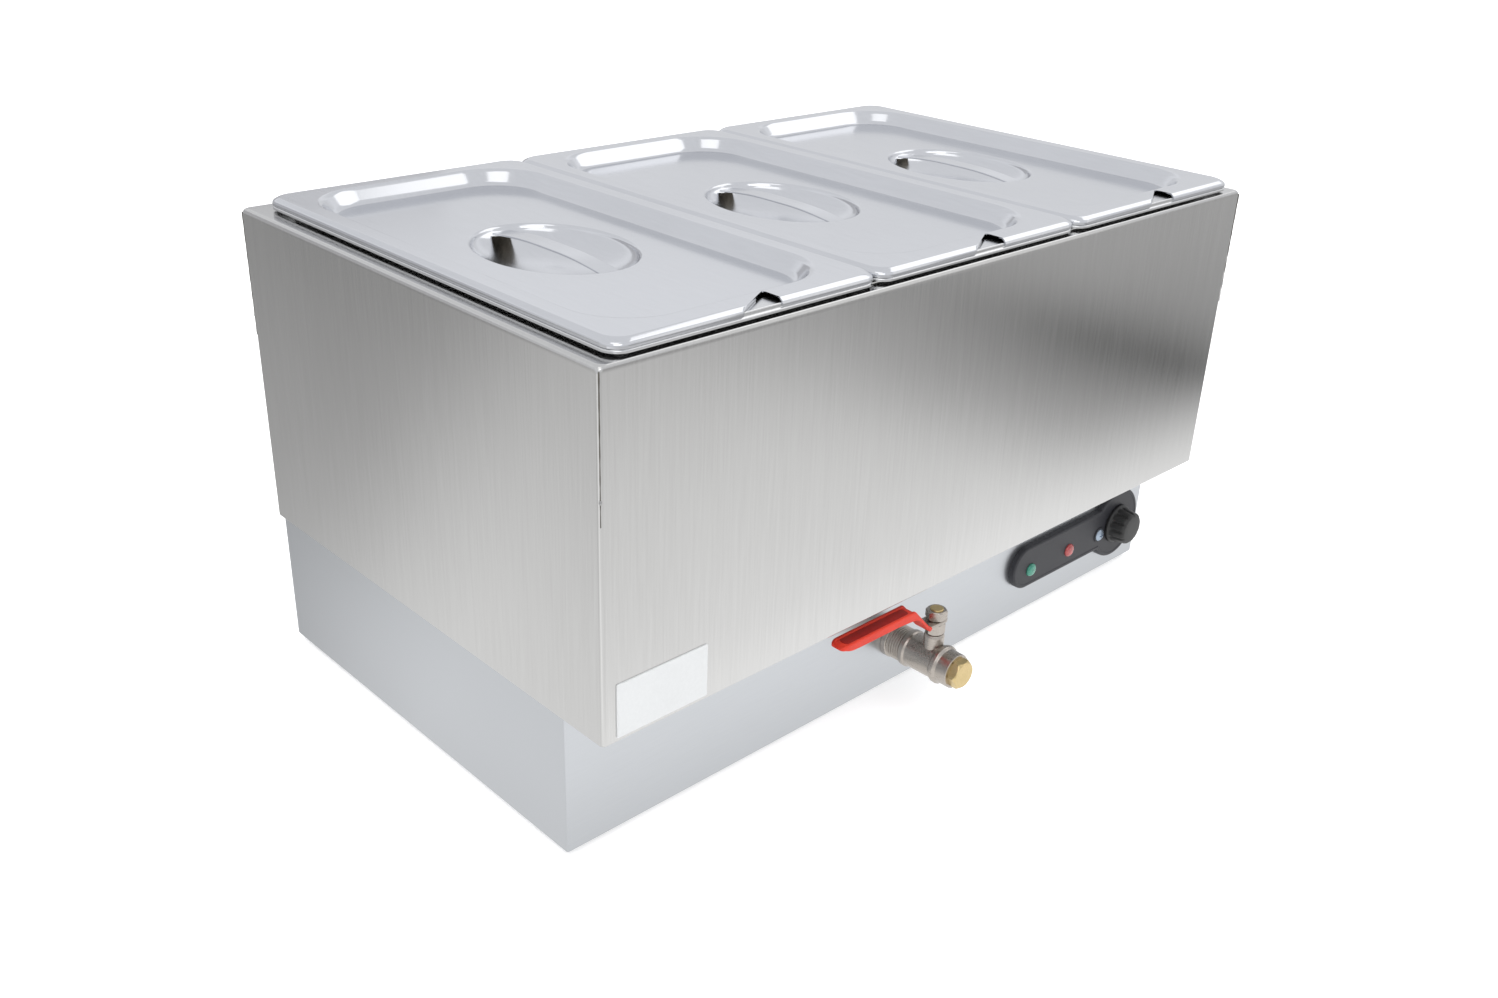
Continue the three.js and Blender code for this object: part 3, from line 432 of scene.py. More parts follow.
red_lens = procedural("red_lamp_lens", (0.28, 0.03, 0.032), (0.42, 0.06, 0.06), **LENS)
ceramic = procedural(
    "cream_moulding", (0.62, 0.56, 0.44), (0.74, 0.69, 0.58), rough=(0.45, 0.6),
    grain=(700, 700, 700), bump=0.3, blotch=50,
)
white_label = procedural(
    "white_enamel_plate", grey(0.54, LABEL_TINT), grey(0.58, LABEL_TINT), grain=(500, 500, 500),
    bump=0.08, blotch=25,
)
# Painted shade: a dark brown for the strap's downward faces, standing in for their shade and the
# dark they mirror.
painted_shade_underside = procedural(
    "strap_underside_painted_shade", (0.10, 0.086, 0.062), (0.24, 0.21, 0.165), rough=(0.4, 0.5),
    metallic=1.0, grain=(500, 500, 500), blotch=110,
)
seam_shade = procedural(
    "unfilled_seam", (0.07, 0.065, 0.055), (0.16, 0.15, 0.13), rough=(0.5, 0.7), metallic=0.6,
    grain=(900, 900, 120), bump=0.3, blotch=60,
)
weld_metal = procedural(
    "dull_weld_metal", grey(0.35), grey(0.55), rough=(0.35, 0.5), metallic=1.0,
    grain=(900, 900, 900), bump=0.4, blotch=200,
)

FINISH_OF_SLOT = {
    "plated_steel": zinc,
    "rubber": rubber,
    "nickel_plate": nickel,
    "brass": brass,
    "black_plastic": black_plastic,
    "charcoal_plastic": charcoal,
    "cream_plastic": ceramic,
    "casing_steel": casing_steel,
    "base_steel": base_steel,
    "tank_steel": tank_steel,
    "pan_steel": pan_steel,
    "lid_steel": lid_steel,
    "red_vinyl": red_vinyl,
    "green_lens": green_lens,
    "red_lens": red_lens,
    "white_label": white_label,
}


def finish_carried_nodes():
    """Every CAD node gets its slot's finish, whether it stays in view or not."""
    for row in frame["record"]["subparts"]:
        for slot in frame["nodes"][row["node"]].material_slots:
            slot.material = FINISH_OF_SLOT[row["material_slot"]]


# ---- Casing, base and tank ----------------------------------------------------------------------
def shell_rings(path, closed=False):
    """Rings from (half length, half depth, middle y, corner radius, z, fillet) points."""
    points = filleted(path, closed=closed)
    return [rounded_rect(hx, hy, cy, max(radius, 0.25), z) for hx, hy, cy, radius, z in points]


def half_sizes(low, high):
    """Half length, half depth and middle y of a box."""
    return (high.x - low.x) / 2, (high.y - low.y) / 2, (high.y + low.y) / 2


def rim_notch_cutters():
    """Cuts where two pans meet, for their turned-down edges to drop through the upstand and hem."""
    half_width, reach = 4, 200
    cutters = []
    for x in (-PAN_PITCH / 2, PAN_PITCH / 2):
        low = (x - half_width, -reach, RIM_NOTCH_FLOOR)
        cutters.append(block_cutter(low, (x + half_width, reach, TANK_TOP + 5)))
    return cutters


def build_casing():
    half_x, half_y, cy = half_sizes(CASING_LOW, CASING_HIGH)
    inner_x, inner_y = half_x - SHEET, half_y - SHEET
    base_x, base_y, base_cy = half_sizes(BASE_LOW, BASE_HIGH)
    flange_x, flange_y = base_x - BASE_FLANGE, base_y - BASE_FLANGE
    bottom = CASING_LOW.z
    hx, hy, r = TANK_HALF
    outer, inner = 2.6, 2.0  # corner radii
    lip, wall = 2.4, 1.2  # the upstand's outside and inside, beyond the tank's opening
    rise = TANK_TOP - TANK_SHEET
    path = [
        (half_x, half_y, cy, outer, bottom, 1.4),
        (half_x, half_y, cy, outer, CASING_TOP, 3.8),
        (hx + lip, hy + lip, 0, r + lip, CASING_TOP, 1.2),
        (hx + lip, hy + lip, 0, r + lip, rise, 0.3),
        (hx + wall, hy + wall, 0, r + wall, rise, 0.3),
        (hx + wall, hy + wall, 0, r + wall, CASING_TOP - SHEET, 0.4),
        (inner_x, inner_y, cy, inner, CASING_TOP - SHEET, 1.2),
        (inner_x, inner_y, cy, inner, bottom + SHEET, 0.6),
        (flange_x, flange_y, base_cy, 1.0, bottom + SHEET, 0.2),
        (flange_x, flange_y, base_cy, 1.0, bottom, 0.2),
    ]
    casing = lofted("casing_shell", shell_rings(path, closed=True), closed=True)
    carved(casing, rim_notch_cutters())
    finish_piece(casing, "cabinet", casing_steel, ["upper_casing"])


def build_corner_seams():
    """An open seam down from the top of each vertical corner, closed by a weld spot."""
    steps, step, top_gap = 20, 4.0, 2.6
    weld_drop, weld_radius, weld_stretch = 66, 0.75, 1.8
    corners = [(x, y) for x in (CASING_LOW.x, CASING_HIGH.x) for y in (CASING_LOW.y, CASING_HIGH.y)]
    for i, (x, y) in enumerate(corners):
        sx, sy = math.copysign(1, x), math.copysign(1, y)
        at = Vector((x - sx * 0.62, y - sy * 0.36, 0))
        rings = []
        for k in range(steps):
            z = CASING_TOP - top_gap - step * k
            width = 0.28 * (1 - 0.5 * k / steps) + 0.05 * math.sin(k * 2.1)
            square = ((1, 1), (-1, 1), (-1, -1), (1, -1))
            rings.append([at + Vector((dx * width, dy * width, z)) for dx, dy in square])
        seam = lofted(f"corner_seam_{i + 1}", rings, weighted=False)
        finish_piece(seam, "cabinet", seam_shade)

        bm = bmesh.new()
        made = bmesh.ops.create_icosphere(bm, subdivisions=3, radius=weld_radius)
        for vert in made["verts"]:
            vert.co.z *= weld_stretch
            vert.co += Vector((0.08 * math.sin(vert.co.z * 5 + i), 0, 0))
        middle = (x - sx * weld_radius, y - sy * 0.55, CASING_TOP - weld_drop)
        bmesh.ops.translate(bm, vec=middle, verts=bm.verts)
        spot = make_object(f"corner_weld_{i + 1}", bm, weighted=False)
        finish_piece(spot, "cabinet", weld_metal)


def build_base():
    hx, hy, cy = half_sizes(BASE_LOW, BASE_HIGH)
    bottom, top = BASE_LOW.z, BASE_HIGH.z
    path = [
        (hx, hy, cy, 1.5, bottom, 1.5),
        (hx, hy, cy, 1.5, top, 1.2),
        (hx - BASE_FLANGE, hy - BASE_FLANGE, cy, 1.0, top, 0.2),
        (hx - BASE_FLANGE, hy - BASE_FLANGE, cy, 1.0, top - SHEET, 0.2),
        (hx - SHEET, hy - SHEET, cy, 0.8, top - SHEET, 0.8),
        (hx - SHEET, hy - SHEET, cy, 0.8, bottom + SHEET, 0.8),
        (hx - BASE_FOOT_FLANGE, hy - BASE_FOOT_FLANGE, cy, 1.0, bottom + SHEET, 0.2),
        (hx - BASE_FOOT_FLANGE, hy - BASE_FOOT_FLANGE, cy, 1.0, bottom, 0.2),
    ]
    base = lofted("base_shell", shell_rings(path, closed=True), closed=True)
    past = 4
    cutters = []
    for radius, x, z, wall_y in (
        (10.8, VALVE_X, VALVE_Z, BASE_FRONT),
        (5, FASCIA_X, FASCIA_Z, BASE_FRONT),
        (8.3, GLAND_X, GLAND_Z, BASE_HIGH.y),
    ):
        cutters.append(rod_cutter(radius, (x, 0, z), "-y", -wall_y - past, -wall_y + past))
    carved(base, cutters)
    finish_piece(base, "cabinet", base_steel, ["base_box"])


def build_tank():
    hx, hy, r = TANK_HALF
    floor_x, floor_y, floor_r = hx - 20, hy - 20, 6
    hem_x, hem_y, hem_r = hx + 4.5, hy + 4.5, r + 4.5
    outer_x, outer_y, outer_r = hx + TANK_SHEET, hy + TANK_SHEET, r + TANK_SHEET
    underside = TANK_FLOOR - TANK_SHEET
    path = [
        (floor_x, floor_y, 0, floor_r, TANK_FLOOR, 0),
        (hx, hy, 0, r, TANK_FLOOR, 5),
        (hx, hy, 0, r, TANK_TOP, 1.2),
        (hem_x, hem_y, 0, hem_r, TANK_TOP, 0.6),
        (hem_x, hem_y, 0, hem_r, TANK_TOP - TANK_SHEET, 0.2),
        (outer_x, outer_y, 0, outer_r, TANK_TOP - TANK_SHEET, 0.6),
        (outer_x, outer_y, 0, outer_r, underside, 6),
        (floor_x, floor_y, 0, floor_r, underside, 0),
    ]
    bm = bmesh.new()
    bridge(bm, shell_rings(path), cap_start=True, cap_end=True)

    root = TANK_FLOOR - 0.4  # spigot and studs start inside the floor
    bore, outside, mouth = 8, 10, TANK_FLOOR - 17
    spigot = filleted([(bore, mouth, 0.4), (outside, mouth, 0.4), (outside, root, 0.1)], 3)
    spigot.append((bore, root))
    bridge(bm, turned_rings(spigot, (DRAIN_X, DRAIN_Y, 0), "+z", 40), closed=True)
    tip = TANK_FLOOR - 16
    stud = [(0.6, tip), (2.2, tip), (2.5, tip + 0.4), (2.5, root)]
    for x in (-110, 110):
        bridge(bm, turned_rings(stud, (x, 0, 0), "+z", 24), cap_start=True, cap_end=True)
    bmesh.ops.recalc_face_normals(bm, faces=bm.faces)
    tank = make_object("tank_shell", bm)
    # Known fault: the drain cut also removes the walls, floor and spigot; only the studs are left.
    drain = rod_cutter(bore, (DRAIN_X, DRAIN_Y, 0), "+z", TANK_FLOOR - 30, TANK_FLOOR + 3)
    carved(tank, [drain, *rim_notch_cutters()])
    finish_piece(tank, "cabinet", tank_steel, ["water_tank"])


# ---- Pans and lids ------------------------------------------------------------------------------
def skin(name, path, cx, more_rings=()):
    """A sheet-metal form: the side in view as a path of rings, thickened away from it."""
    rings = [rounded_rect(a, b, c, max(r, 0.3), z, cx=cx) for a, b, c, r, z in filleted(path, 8)]
    bm = bmesh.new()
    bridge(bm, [*rings, *more_rings], cap_end=True)
    obj = make_object(name, bm, weighted=False)
    solid = obj.modifiers.new("sheet", "SOLIDIFY")
    solid.thickness = PAN_SHEET * MM
    solid.offset = -1
    solid.use_even_offset = True
    return obj


def build_pan(i):
    low, high = box_mm(f"pan_{i}")
    cx = (low.x + high.x) / 2
    hx, hy = (high.x - low.x) / 2 - 0.1, (high.y - low.y) / 2 - 0.1
    rim_x, rim_y = (high.x - low.x) / 2 - LID_EDGE_COVER, (high.y - low.y) / 2 - LID_EDGE_COVER
    mouth_x, mouth_y = PAN_MOUTH
    top, floor = high.z, low.z + PAN_SHEET
    draft = PAN_DRAFT * (top - low.z)
    shoulder = top - 9.0
    path = [
        (hx, hy, 0, 10, top - PAN_RIM_DROP + 0.2, 0),
        (hx, hy, 0, 10, top - 3.0, 0.5),
        (rim_x, rim_y, 0, 9, top - 2.2, 0.4),
        (rim_x, rim_y, 0, 9, top, 1.0),
        (mouth_x, mouth_y, 0, 23.2, top, 1.8),
        (mouth_x - 0.2, mouth_y - 0.2, 0, 23, shoulder, 1.5),
        (mouth_x - 1.6, mouth_y - 1.6, 0, 21.6, shoulder - 1.5, 1.5),
        (mouth_x - draft, mouth_y - draft, 0, 22, floor, 12),
        (40, 110, 0, 12, floor, 0),
    ]
    pan = skin(f"pan_shell_{i}", path, cx)
    carved(pan)
    finish_piece(pan, f"pan_{i}", pan_steel, [f"pan_{i}"])


def dish_rings(cx, floor):
    """The oval finger dish in the recess floor: a soft lip, then a bowl with a steep rim."""
    half_x, half_y = DISH_HALF
    lip_width, lip_depth = 1.8, 1.3
    rings = []
    for t in (1.0, 0.75, 0.5, 0.25, 0.0):
        lip = lip_width * t
        rings.append(oval(half_x + lip, half_y + lip, cx, floor - lip_depth * (1 - t) ** 2))
    steps = 16
    for k in range(1, steps + 1):
        angle = k / (steps + 0.6) * math.pi / 2
        reach = math.cos(angle) ** 0.75
        depth = lip_depth + (DISH_DEPTH - lip_depth) * math.sin(angle) ** 1.2
        rings.append(oval(half_x * reach, half_y * reach, cx, floor - depth))
    return rings


def notch_cutter(cx, top):
    """The spoon notch in the lid's front edge: square on its right side, slanting on its left."""
    left, right, back, front = -9.6, 17.0, -147.6, -LID_HALF[1]
    slant = (right - left) / (back - front)
    past = 6
    corner = filleted([(left, front, 0), (right, back, 1.6), (right, front, 0)], 5)[1:-1]
    outline = [(left - past * slant, front - past), *corner, (right, front - past)]
    rings = [[Vector((cx + x, y, z)) for x, y in outline] for z in (top - 20, top + past)]
    return lofted("cutter", rings, weighted=False)


def add_notch_lip(lid, cx, top, underside):
    """The slanting side of the notch is turned down on to the pan's rim."""
    start, end = Vector((cx - 9.2, -162.2, 0)), Vector((cx + 8.9, -151.7, 0))
    inward = Vector((end.y - start.y, start.x - end.x, 0)).normalized() * -0.7
    low, high = underside + 0.05, top - 0.25
    steps, dip = 8, 1.3
    rings = []
    for k in range(steps + 1):
        at = start.lerp(end, k / steps)
        crest = high - dip * max(0.0, 1 - k) ** 2  # lower where it starts in the rolled edge
        corners = ((at, low), (at, crest), (at + inward, crest), (at + inward, low))
        rings.append([(foot + Vector((0, 0, z))) * MM for foot, z in corners])
    bm = bmesh.new()
    bm.from_mesh(lid.data)
    bridge(bm, rings, cap_start=True, cap_end=True)
    bmesh.ops.recalc_face_normals(bm, faces=bm.faces)
    bm.to_mesh(lid.data)
    bm.free()


def build_lid(i):
    low, high = box_mm(f"lid_{i}")
    cx = (low.x + high.x) / 2
    top = high.z
    floor = top - RECESS_DEPTH
    underside = box_mm(f"pan_{i}")[1].z + 0.1
    hx, hy = LID_HALF
    recess_x, recess_y, recess_r = 75, 148, 38
    path = [
        (hx, hy, 0, 10, top - LID_EDGE_DROP, 0),
        (hx, hy, 0, 10, top - 2.1, 1.6),
        (hx - 2.7, hy - 2.7, 0, 10, top, 1.6),
        (recess_x, recess_y, 1.5, recess_r, top, 3.0),
        (recess_x - RECESS_LEAN, recess_y - RECESS_LEAN, 1.5, recess_r - RECESS_LEAN, floor, 4.0),
        (58, 131, 1.5, 26, floor, 0),
    ]
    lid = skin(f"lid_shell_{i}", path, cx, dish_rings(cx, floor))
    carved(lid, [notch_cutter(cx, top)])
    add_notch_lip(lid, cx, top, underside)
    finish_piece(lid, f"lid_{i}", lid_steel, [f"lid_{i}"])
    build_strap(i, cx, floor)


def build_strap(i, cx, floor):
    """The strap arches over the dish from end to end and is welded to its wall."""
    half_width, half_length = STRAP_HALF
    crown, drop, thickness, steps = 1.0, 4.0, 1.2, 30
    side = []
    for k in range(1, steps + 1):
        t = k / steps
        fall = (1 - t) ** 3
        y = half_length * (fall + 1.5 * (1 - t) ** 2 * t + (1 - t) * t * t)
        side.append((y, floor + (crown - thickness) * (1 - fall) - drop * fall))
    stations = [(-y, z) for y, z in side] + [(y, z) for y, z in reversed(side[:-1])]
    rings = []
    for y, z in stations:
        section = [
            (half_width, z, 0.3),
            (half_width, z + thickness, 0.5),
            (-half_width, z + thickness, 0.5),
            (-half_width, z, 0.3),
        ]
        rings.append([Vector((cx + x, y, h)) for x, h in filleted(section, 3, closed=True)])
    strap = lofted(f"lid_strap_{i}", rings)
    finish_piece(strap, f"lid_{i}", lid_steel, [f"lid_grip_{i}"])
    # Painted shade on the strap's downward faces, darker than the lid steel.
    strap.data.materials.append(painted_shade_underside)  # for the faces that look down; the dish mirrors them
    for polygon in strap.data.polygons:
        if polygon.normal.z < -0.5:
            polygon.material_index = 1


# ---- Drain valve --------------------------------------------------------------------------------
def build_valve():
    stem = (VALVE_X, STEM_Y, 0)
    stem_at = BASE_FRONT - STEM_Y  # distance of the stem from the base
    bore, socket, neck, barrel = 6.3, 8.3, 10.7, 11.4  # radii
    profile = [(bore, 0.0, 0), (12.0, 0.0, 0.4), (12.0, 3.6, 0.4), (neck, 4.2, 0.3)]
    for k in range(5):
        rib = 5.0 + 1.9 * k
        profile += [(neck, rib, 0.1), (barrel, rib + 0.3, 0.2)]
        profile += [(barrel, rib + 0.9, 0.2), (neck, rib + 1.2, 0.1)]
    profile += [
        (12.4, 15.0, 0.4),
        (12.4, 18.0, 0.4),
        (barrel, 19.0, 0.4),
        (barrel, stem_at + 6, 0.4),
        (12.8, stem_at + 7.6, 0.6),
        (12.8, stem_at + 10.2, 0.6),
        (barrel, stem_at + 11.6, 0.4),
        (11.2, VALVE_LENGTH, 0.5),
        (socket, VALVE_LENGTH, 0.3),
        (socket, VALVE_LENGTH - 6, 0.2),
        (bore, VALVE_LENGTH - 7, 0.2),
    ]
    body = turned("valve_casting", profile, (VALVE_X, BASE_FRONT, VALVE_Z), "-y", 64, closed=True)
    finish_piece(body, "cabinet", nickel, ["valve_body"])

    boss = [(6.5, 9.0, 0), (6.5, 17.6, 0.4), (5.9, 19.4, 0.3), (3.4, 19.4, 0.1), (3.4, 9.0, 0)]
    piece = turned("valve_stem_boss", boss, (VALVE_X, STEM_Y, VALVE_Z), "+z", 40, closed=True)
    finish_piece(piece, "cabinet", nickel)

    low, high = box_mm("packing_nut")
    nut = hexagonal("packing_nut_hex", 11, (low.z, high.z + EYE_RISE), 3.3, stem)
    finish_piece(nut, "cabinet", nickel, ["packing_nut"])

    heights = (-BASE_FRONT + VALVE_LENGTH - 1.0, -box_mm("outlet_plug")[0].y)
    plug = hexagonal("plug_head", 17.0, heights, 0, (VALVE_X, 0, VALVE_Z), "-y", chamfer=1.6)
    finish_piece(plug, "cabinet", brass, ["outlet_plug"])

    tip = box_mm("valve_stem")[1].z + 0.1
    foot, crown = box_mm("lever_nut")[0].z + EYE_RISE + 0.1, tip - 0.9
    nut = hexagonal("lever_nut_hex", 12, (foot, crown), 3.2, stem)
    finish_piece(nut, "lever", nickel, ["lever_nut"])

    end = [(0.3, crown, 0), (4.3, crown, 0.1), (4.3, tip - 0.2, 0.7), (3.0, tip, 0.3)]
    cap = turned("spindle_end", [*end, (0.3, tip, 0)], stem, segments=40)
    finish_piece(cap, "lever", brass)


LEVER_LOW, LEVER_HIGH = box_mm("valve_lever")
LEVER_TIP, LEVER_HEEL = LEVER_LOW.x + 1.5, LEVER_HIGH.x
LEVER_TOP, LEVER_PLATE = LEVER_HIGH.z, LEVER_LOW.z + EYE_RISE
LEVER_CLIMB, LEVER_BEND = VALVE_X - 12, VALVE_X - 28  # the arm rises between these
LEVER_HALF_WIDTH = (LEVER_HIGH.y - LEVER_LOW.y) / 2
LEVER_GROOVE = 0.9


def lever_ring(x):
    """The lever's section at x: a flat plate at the eye, then a channel with a grooved top."""
    sheet, wall, eye_radius, tip_length = 2.0, 1.8, 6, 5
    groove = 0.0
    if x >= LEVER_CLIMB:
        crest, under, skirt = LEVER_PLATE + sheet, LEVER_PLATE, 0.0
    elif x >= LEVER_BEND:
        t = (LEVER_CLIMB - x) / (LEVER_CLIMB - LEVER_BEND)
        crest = LEVER_PLATE + sheet + t * (LEVER_TOP - LEVER_PLATE - sheet)
        under = crest - 3.0
        skirt = max(0.0, (t - 0.45) / 0.55) * 6.0
        groove = max(0.0, (t - 0.5) / 0.5)
    else:
        crest, under, groove = LEVER_TOP, LEVER_TOP - 3.0, 1.0
        skirt = 5.0 + 1.0 * max(0.0, 1 - (LEVER_BEND - x) / 14)
    near_tip = max(0.0, 1 - (x - LEVER_TIP) / 12)
    skirt *= 1 - 0.6 * near_tip**2
    bottom = min(under, crest - skirt) if skirt > 0 else under
    half = LEVER_HALF_WIDTH
    if x > LEVER_HEEL - eye_radius:
        beyond = eye_radius - (LEVER_HEEL - x)
        half = min(math.sqrt(max(0.6, eye_radius**2 - beyond**2)), LEVER_HALF_WIDTH)
    if x < LEVER_TIP + tip_length:
        t = (LEVER_TIP + tip_length - x) / tip_length
        half = LEVER_HALF_WIDTH * (0.55 + 0.45 * math.sqrt(max(0.0, 1 - t**2)))
        crest -= 1.6 * t**2
    inner = half - wall
    groove_floor = crest - LEVER_GROOVE * groove - 0.01
    section = [
        (-half, bottom, 0.3),
        (-half, crest, 0.9),
        (-inner + 0.2, crest, 0.4),
        (-inner + 0.5, groove_floor, 0.2),
        (inner - 0.5, groove_floor, 0.2),
        (inner - 0.2, crest, 0.4),
        (half, crest, 0.9),
        (half, bottom, 0.3),
        (inner, bottom, 0.3),
        (inner, under, 0.2),
        (-inner, under, 0.2),
        (-inner, bottom, 0.3),
    ]
    return [Vector((x, STEM_Y + y, z)) for y, z in filleted(section, 3, closed=True)]


def build_lever():
    split = LEVER_CLIMB + 1.2  # bare metal ends and vinyl starts
    eye = [LEVER_HEEL - d for d in (0, 0.6, 1.6, 3, 5, 8)] + [VALVE_X, VALVE_X - 6, split]
    sleeve = [split] + [LEVER_CLIMB - d for d in (-0.5, 0.5, 1.6, 4, 7, 10, 12.5)]
    sleeve += [LEVER_BEND - d for d in (-1.6, -0.5, 0.6, 2, 5, 9)]
    sleeve += [LEVER_BEND - 12 - 5 * k for k in range(8)]
    sleeve += [LEVER_TIP + d for d in (9, 6, 4, 2.4, 1.2, 0.4, 0)]
    for name, stations, material, slot in (
        ("lever_eye_plate", eye, nickel, "nickel_plate"),
        ("lever_vinyl_sleeve", sleeve, red_vinyl, "red_vinyl"),
    ):
        bm = bmesh.new()
        bridge(bm, [lever_ring(x) for x in stations], cap_start=True, cap_end=True)
        bmesh.ops.remove_doubles(bm, verts=bm.verts, dist=0.002)
        bmesh.ops.recalc_face_normals(bm, faces=bm.faces)
        piece = make_object(name, bm, smooth_angle=50)
        finish_piece(piece, "lever", material, ["valve_lever"])

    # A dark red sheet in the lever's groove: painted shade on the lever's top.
    start, end = LEVER_BEND - 3.0, LEVER_TIP + 5.0
    rings = []
    for inset, rise in ((0.0, -0.4), (0.0, 0.1), (0.3, 0.3)):
        half_length, half_width = (start - end) / 2 - inset, LEVER_HALF_WIDTH - 2.6 - inset
        z = LEVER_TOP - LEVER_GROOVE + rise
        middle = (start + end) / 2
        rings.append(rounded_rect(half_length, half_width, STEM_Y, 2.5 - inset, z, 6, cx=middle))
    finish_piece(lofted("lever_top_painted_shade_panel", rings), "lever", painted_shade_red_vinyl)


# ---- Controls -----------------------------------------------------------------------------------
def fascia_outline(inset):
    """The panel's outline: a long bar that runs into a round lobe behind the knob."""
    left, half, lobe = 110.0, 16.0, 27.0
    bar_steps, lobe_steps = 24, 48
    small, big = half - inset, lobe - inset
    points = []
    for k in range(bar_steps + 1):
        angle = math.pi / 2 + math.pi * k / bar_steps
        points.append((left + half + small * math.cos(angle), small * math.sin(angle)))
    join = math.asin(small / big)
    for k in range(lobe_steps + 1):
        angle = math.pi + join + (2 * math.pi - 2 * join) * k / lobe_steps
        points.append((FASCIA_X + big * math.cos(angle), big * math.sin(angle)))
    return points


def build_fascia():
    bend = 1.6
    shoulder = FASCIA_THICKNESS - bend
    levels = [(0.0, 0.0), (0.0, shoulder)]
    for k in range(1, 6):
        angle = k / 5 * math.pi / 2
        levels.append((bend - bend * math.cos(angle), shoulder + bend * math.sin(angle)))
    step = FASCIA_THICKNESS - 0.35
    levels += [(2.6, FASCIA_THICKNESS), (3.0, step), (3.6, step)]
    rings = []
    for inset, height in levels:
        y = BASE_FRONT - height
        rings.append([Vector((x, y, FASCIA_Z + z)) for x, z in fascia_outline(inset)])
    panel = lofted("fascia_panel", rings, smooth_angle=50)
    hole = rod_cutter(4.5, (FASCIA_X, 0, FASCIA_Z), "-y", -BASE_FRONT - 2, -BASE_FRONT + 8)
    carved(panel, [hole])
    finish_piece(panel, "cabinet", charcoal, ["control_fascia"])


def on_base_front(node):
    """The point of the base's front behind the middle of a CAD node."""
    low, high = box_mm(node)
    return ((low.x + high.x) / 2, BASE_FRONT, (low.z + high.z) / 2)


def build_lamp(node, name, lens):
    face = FASCIA_THICKNESS
    profile = [
        (0.3, 0.2, 0),
        (4.9, 0.2, 0),
        (4.9, face + 0.5, 0.7),
        (3.6, face + 1.7, 0.8),
        (0.3, face + 2.2, 0),
    ]
    lamp = turned(name, profile, on_base_front(node), "-y", 40)
    finish_piece(lamp, "cabinet", lens, [node])


def build_fascia_screw():
    at = on_base_front("fascia_screw")
    face = FASCIA_THICKNESS
    ring = [(4.8, face - 0.6, 0), (5.8, face - 0.6, 0.1)]
    ring += [(5.8, face + 0.5, 0.4), (4.8, face + 0.5, 0.2)]
    cup = turned("screw_cup_ring", ring, at, "-y", 40, closed=True)
    finish_piece(cup, "cabinet", charcoal)

    profile = [
        (0.3, 0, 0),
        (1.5, 0, 0),
        (1.5, face - 0.5, 0),
        (4.6, face - 0.4, 0.1),
        (4.6, face + 0.9, 0.5),
        (3.0, face + 2.1, 0.8),
        (0.3, face + 2.5, 0),
    ]
    head = turned("fascia_screw_head", profile, at, "-y", 40)
    x, y, z = at
    recess, cross, slot = y - face - 1.3, 2.3, 0.42
    cutters = []
    for dx, dz in ((cross, slot), (slot, cross)):
        cutters.append(block_cutter((x - dx, y - face - 5, z - dz), (x + dx, recess, z + dz)))
    carved(head, cutters)
    finish_piece(head, "cabinet", zinc_with_painted_blue_reflection, ["fascia_screw"])


def build_knob():
    face = BASE_FRONT - FASCIA_THICKNESS
    height = face - box_mm("control_knob")[0].y
    levels = [  # (height, radius, flute depth)
        (0.3, 14.8, 0.0),
        (1.6, 14.8, 0.0),
        (2.3, 14.2, 0.0),
        (2.7, 13.6, 0.3),
        (3.4, 13.4, 0.8),
        (5.0, 13.2, 1.0),
        (8.0, 12.8, 1.0),
        (height - 2.4, 12.3, 1.0),
        (height - 1.2, 11.8, 0.6),
        (height - 0.5, 11.0, 0.25),
        (height, 9.6, 0.0),
        (height, 4.0, 0.0),
    ]
    sides, flutes = 144, 12
    origin = (FASCIA_X, face, FASCIA_Z)
    rings = []
    for level, radius, depth in levels:
        ring = []
        for k in range(sides):
            angle = 2 * math.pi * k / sides
            groove = depth * max(0.0, math.cos(flutes * angle)) ** 2
            ring.append(round_axis(origin, "-y", radius - groove, angle, level))
        rings.append(ring)
    knob = lofted("knob_grip", rings, smooth_angle=40)
    carved(knob, [rod_cutter(3.4, (FASCIA_X, 0, FASCIA_Z), "-y", -face - 2, -face + height - 4)])
    finish_piece(knob, "knob", black_plastic, ["control_knob"])


# ---- Blank badge on the front -------------------------------------------------------------------
def build_badge():
    low, high = box_mm("name_badge")
    hx, hz = (high.x - low.x) / 2, (high.z - low.z) / 2
    cx, cz = (high.x + low.x) / 2, (high.z + low.z) / 2
    back, front = high.y, low.y
    rings = []
    for inset, y in ((0.0, back), (0.0, front + 0.25), (0.12, front + 0.07), (0.35, front)):
        level = rounded_rect(hx - inset, hz - inset, 0, 1.0, 0, 5)
        rings.append([Vector((cx + p.x, y, cz + p.y)) for p in level])
    plate = lofted("blank_badge_plate", rings)
    finish_piece(plate, "cabinet", white_label, ["name_badge"])


# ---- Camera, lights and floor, in metres --------------------------------------------------------
CAMERA_AT = (-0.63066, -0.625, 0.51328)
CAMERA_AZIMUTH, CAMERA_DIP, CAMERA_ROLL = 44.39, 25.78, 2.14
CAMERA_LENS = 34.06


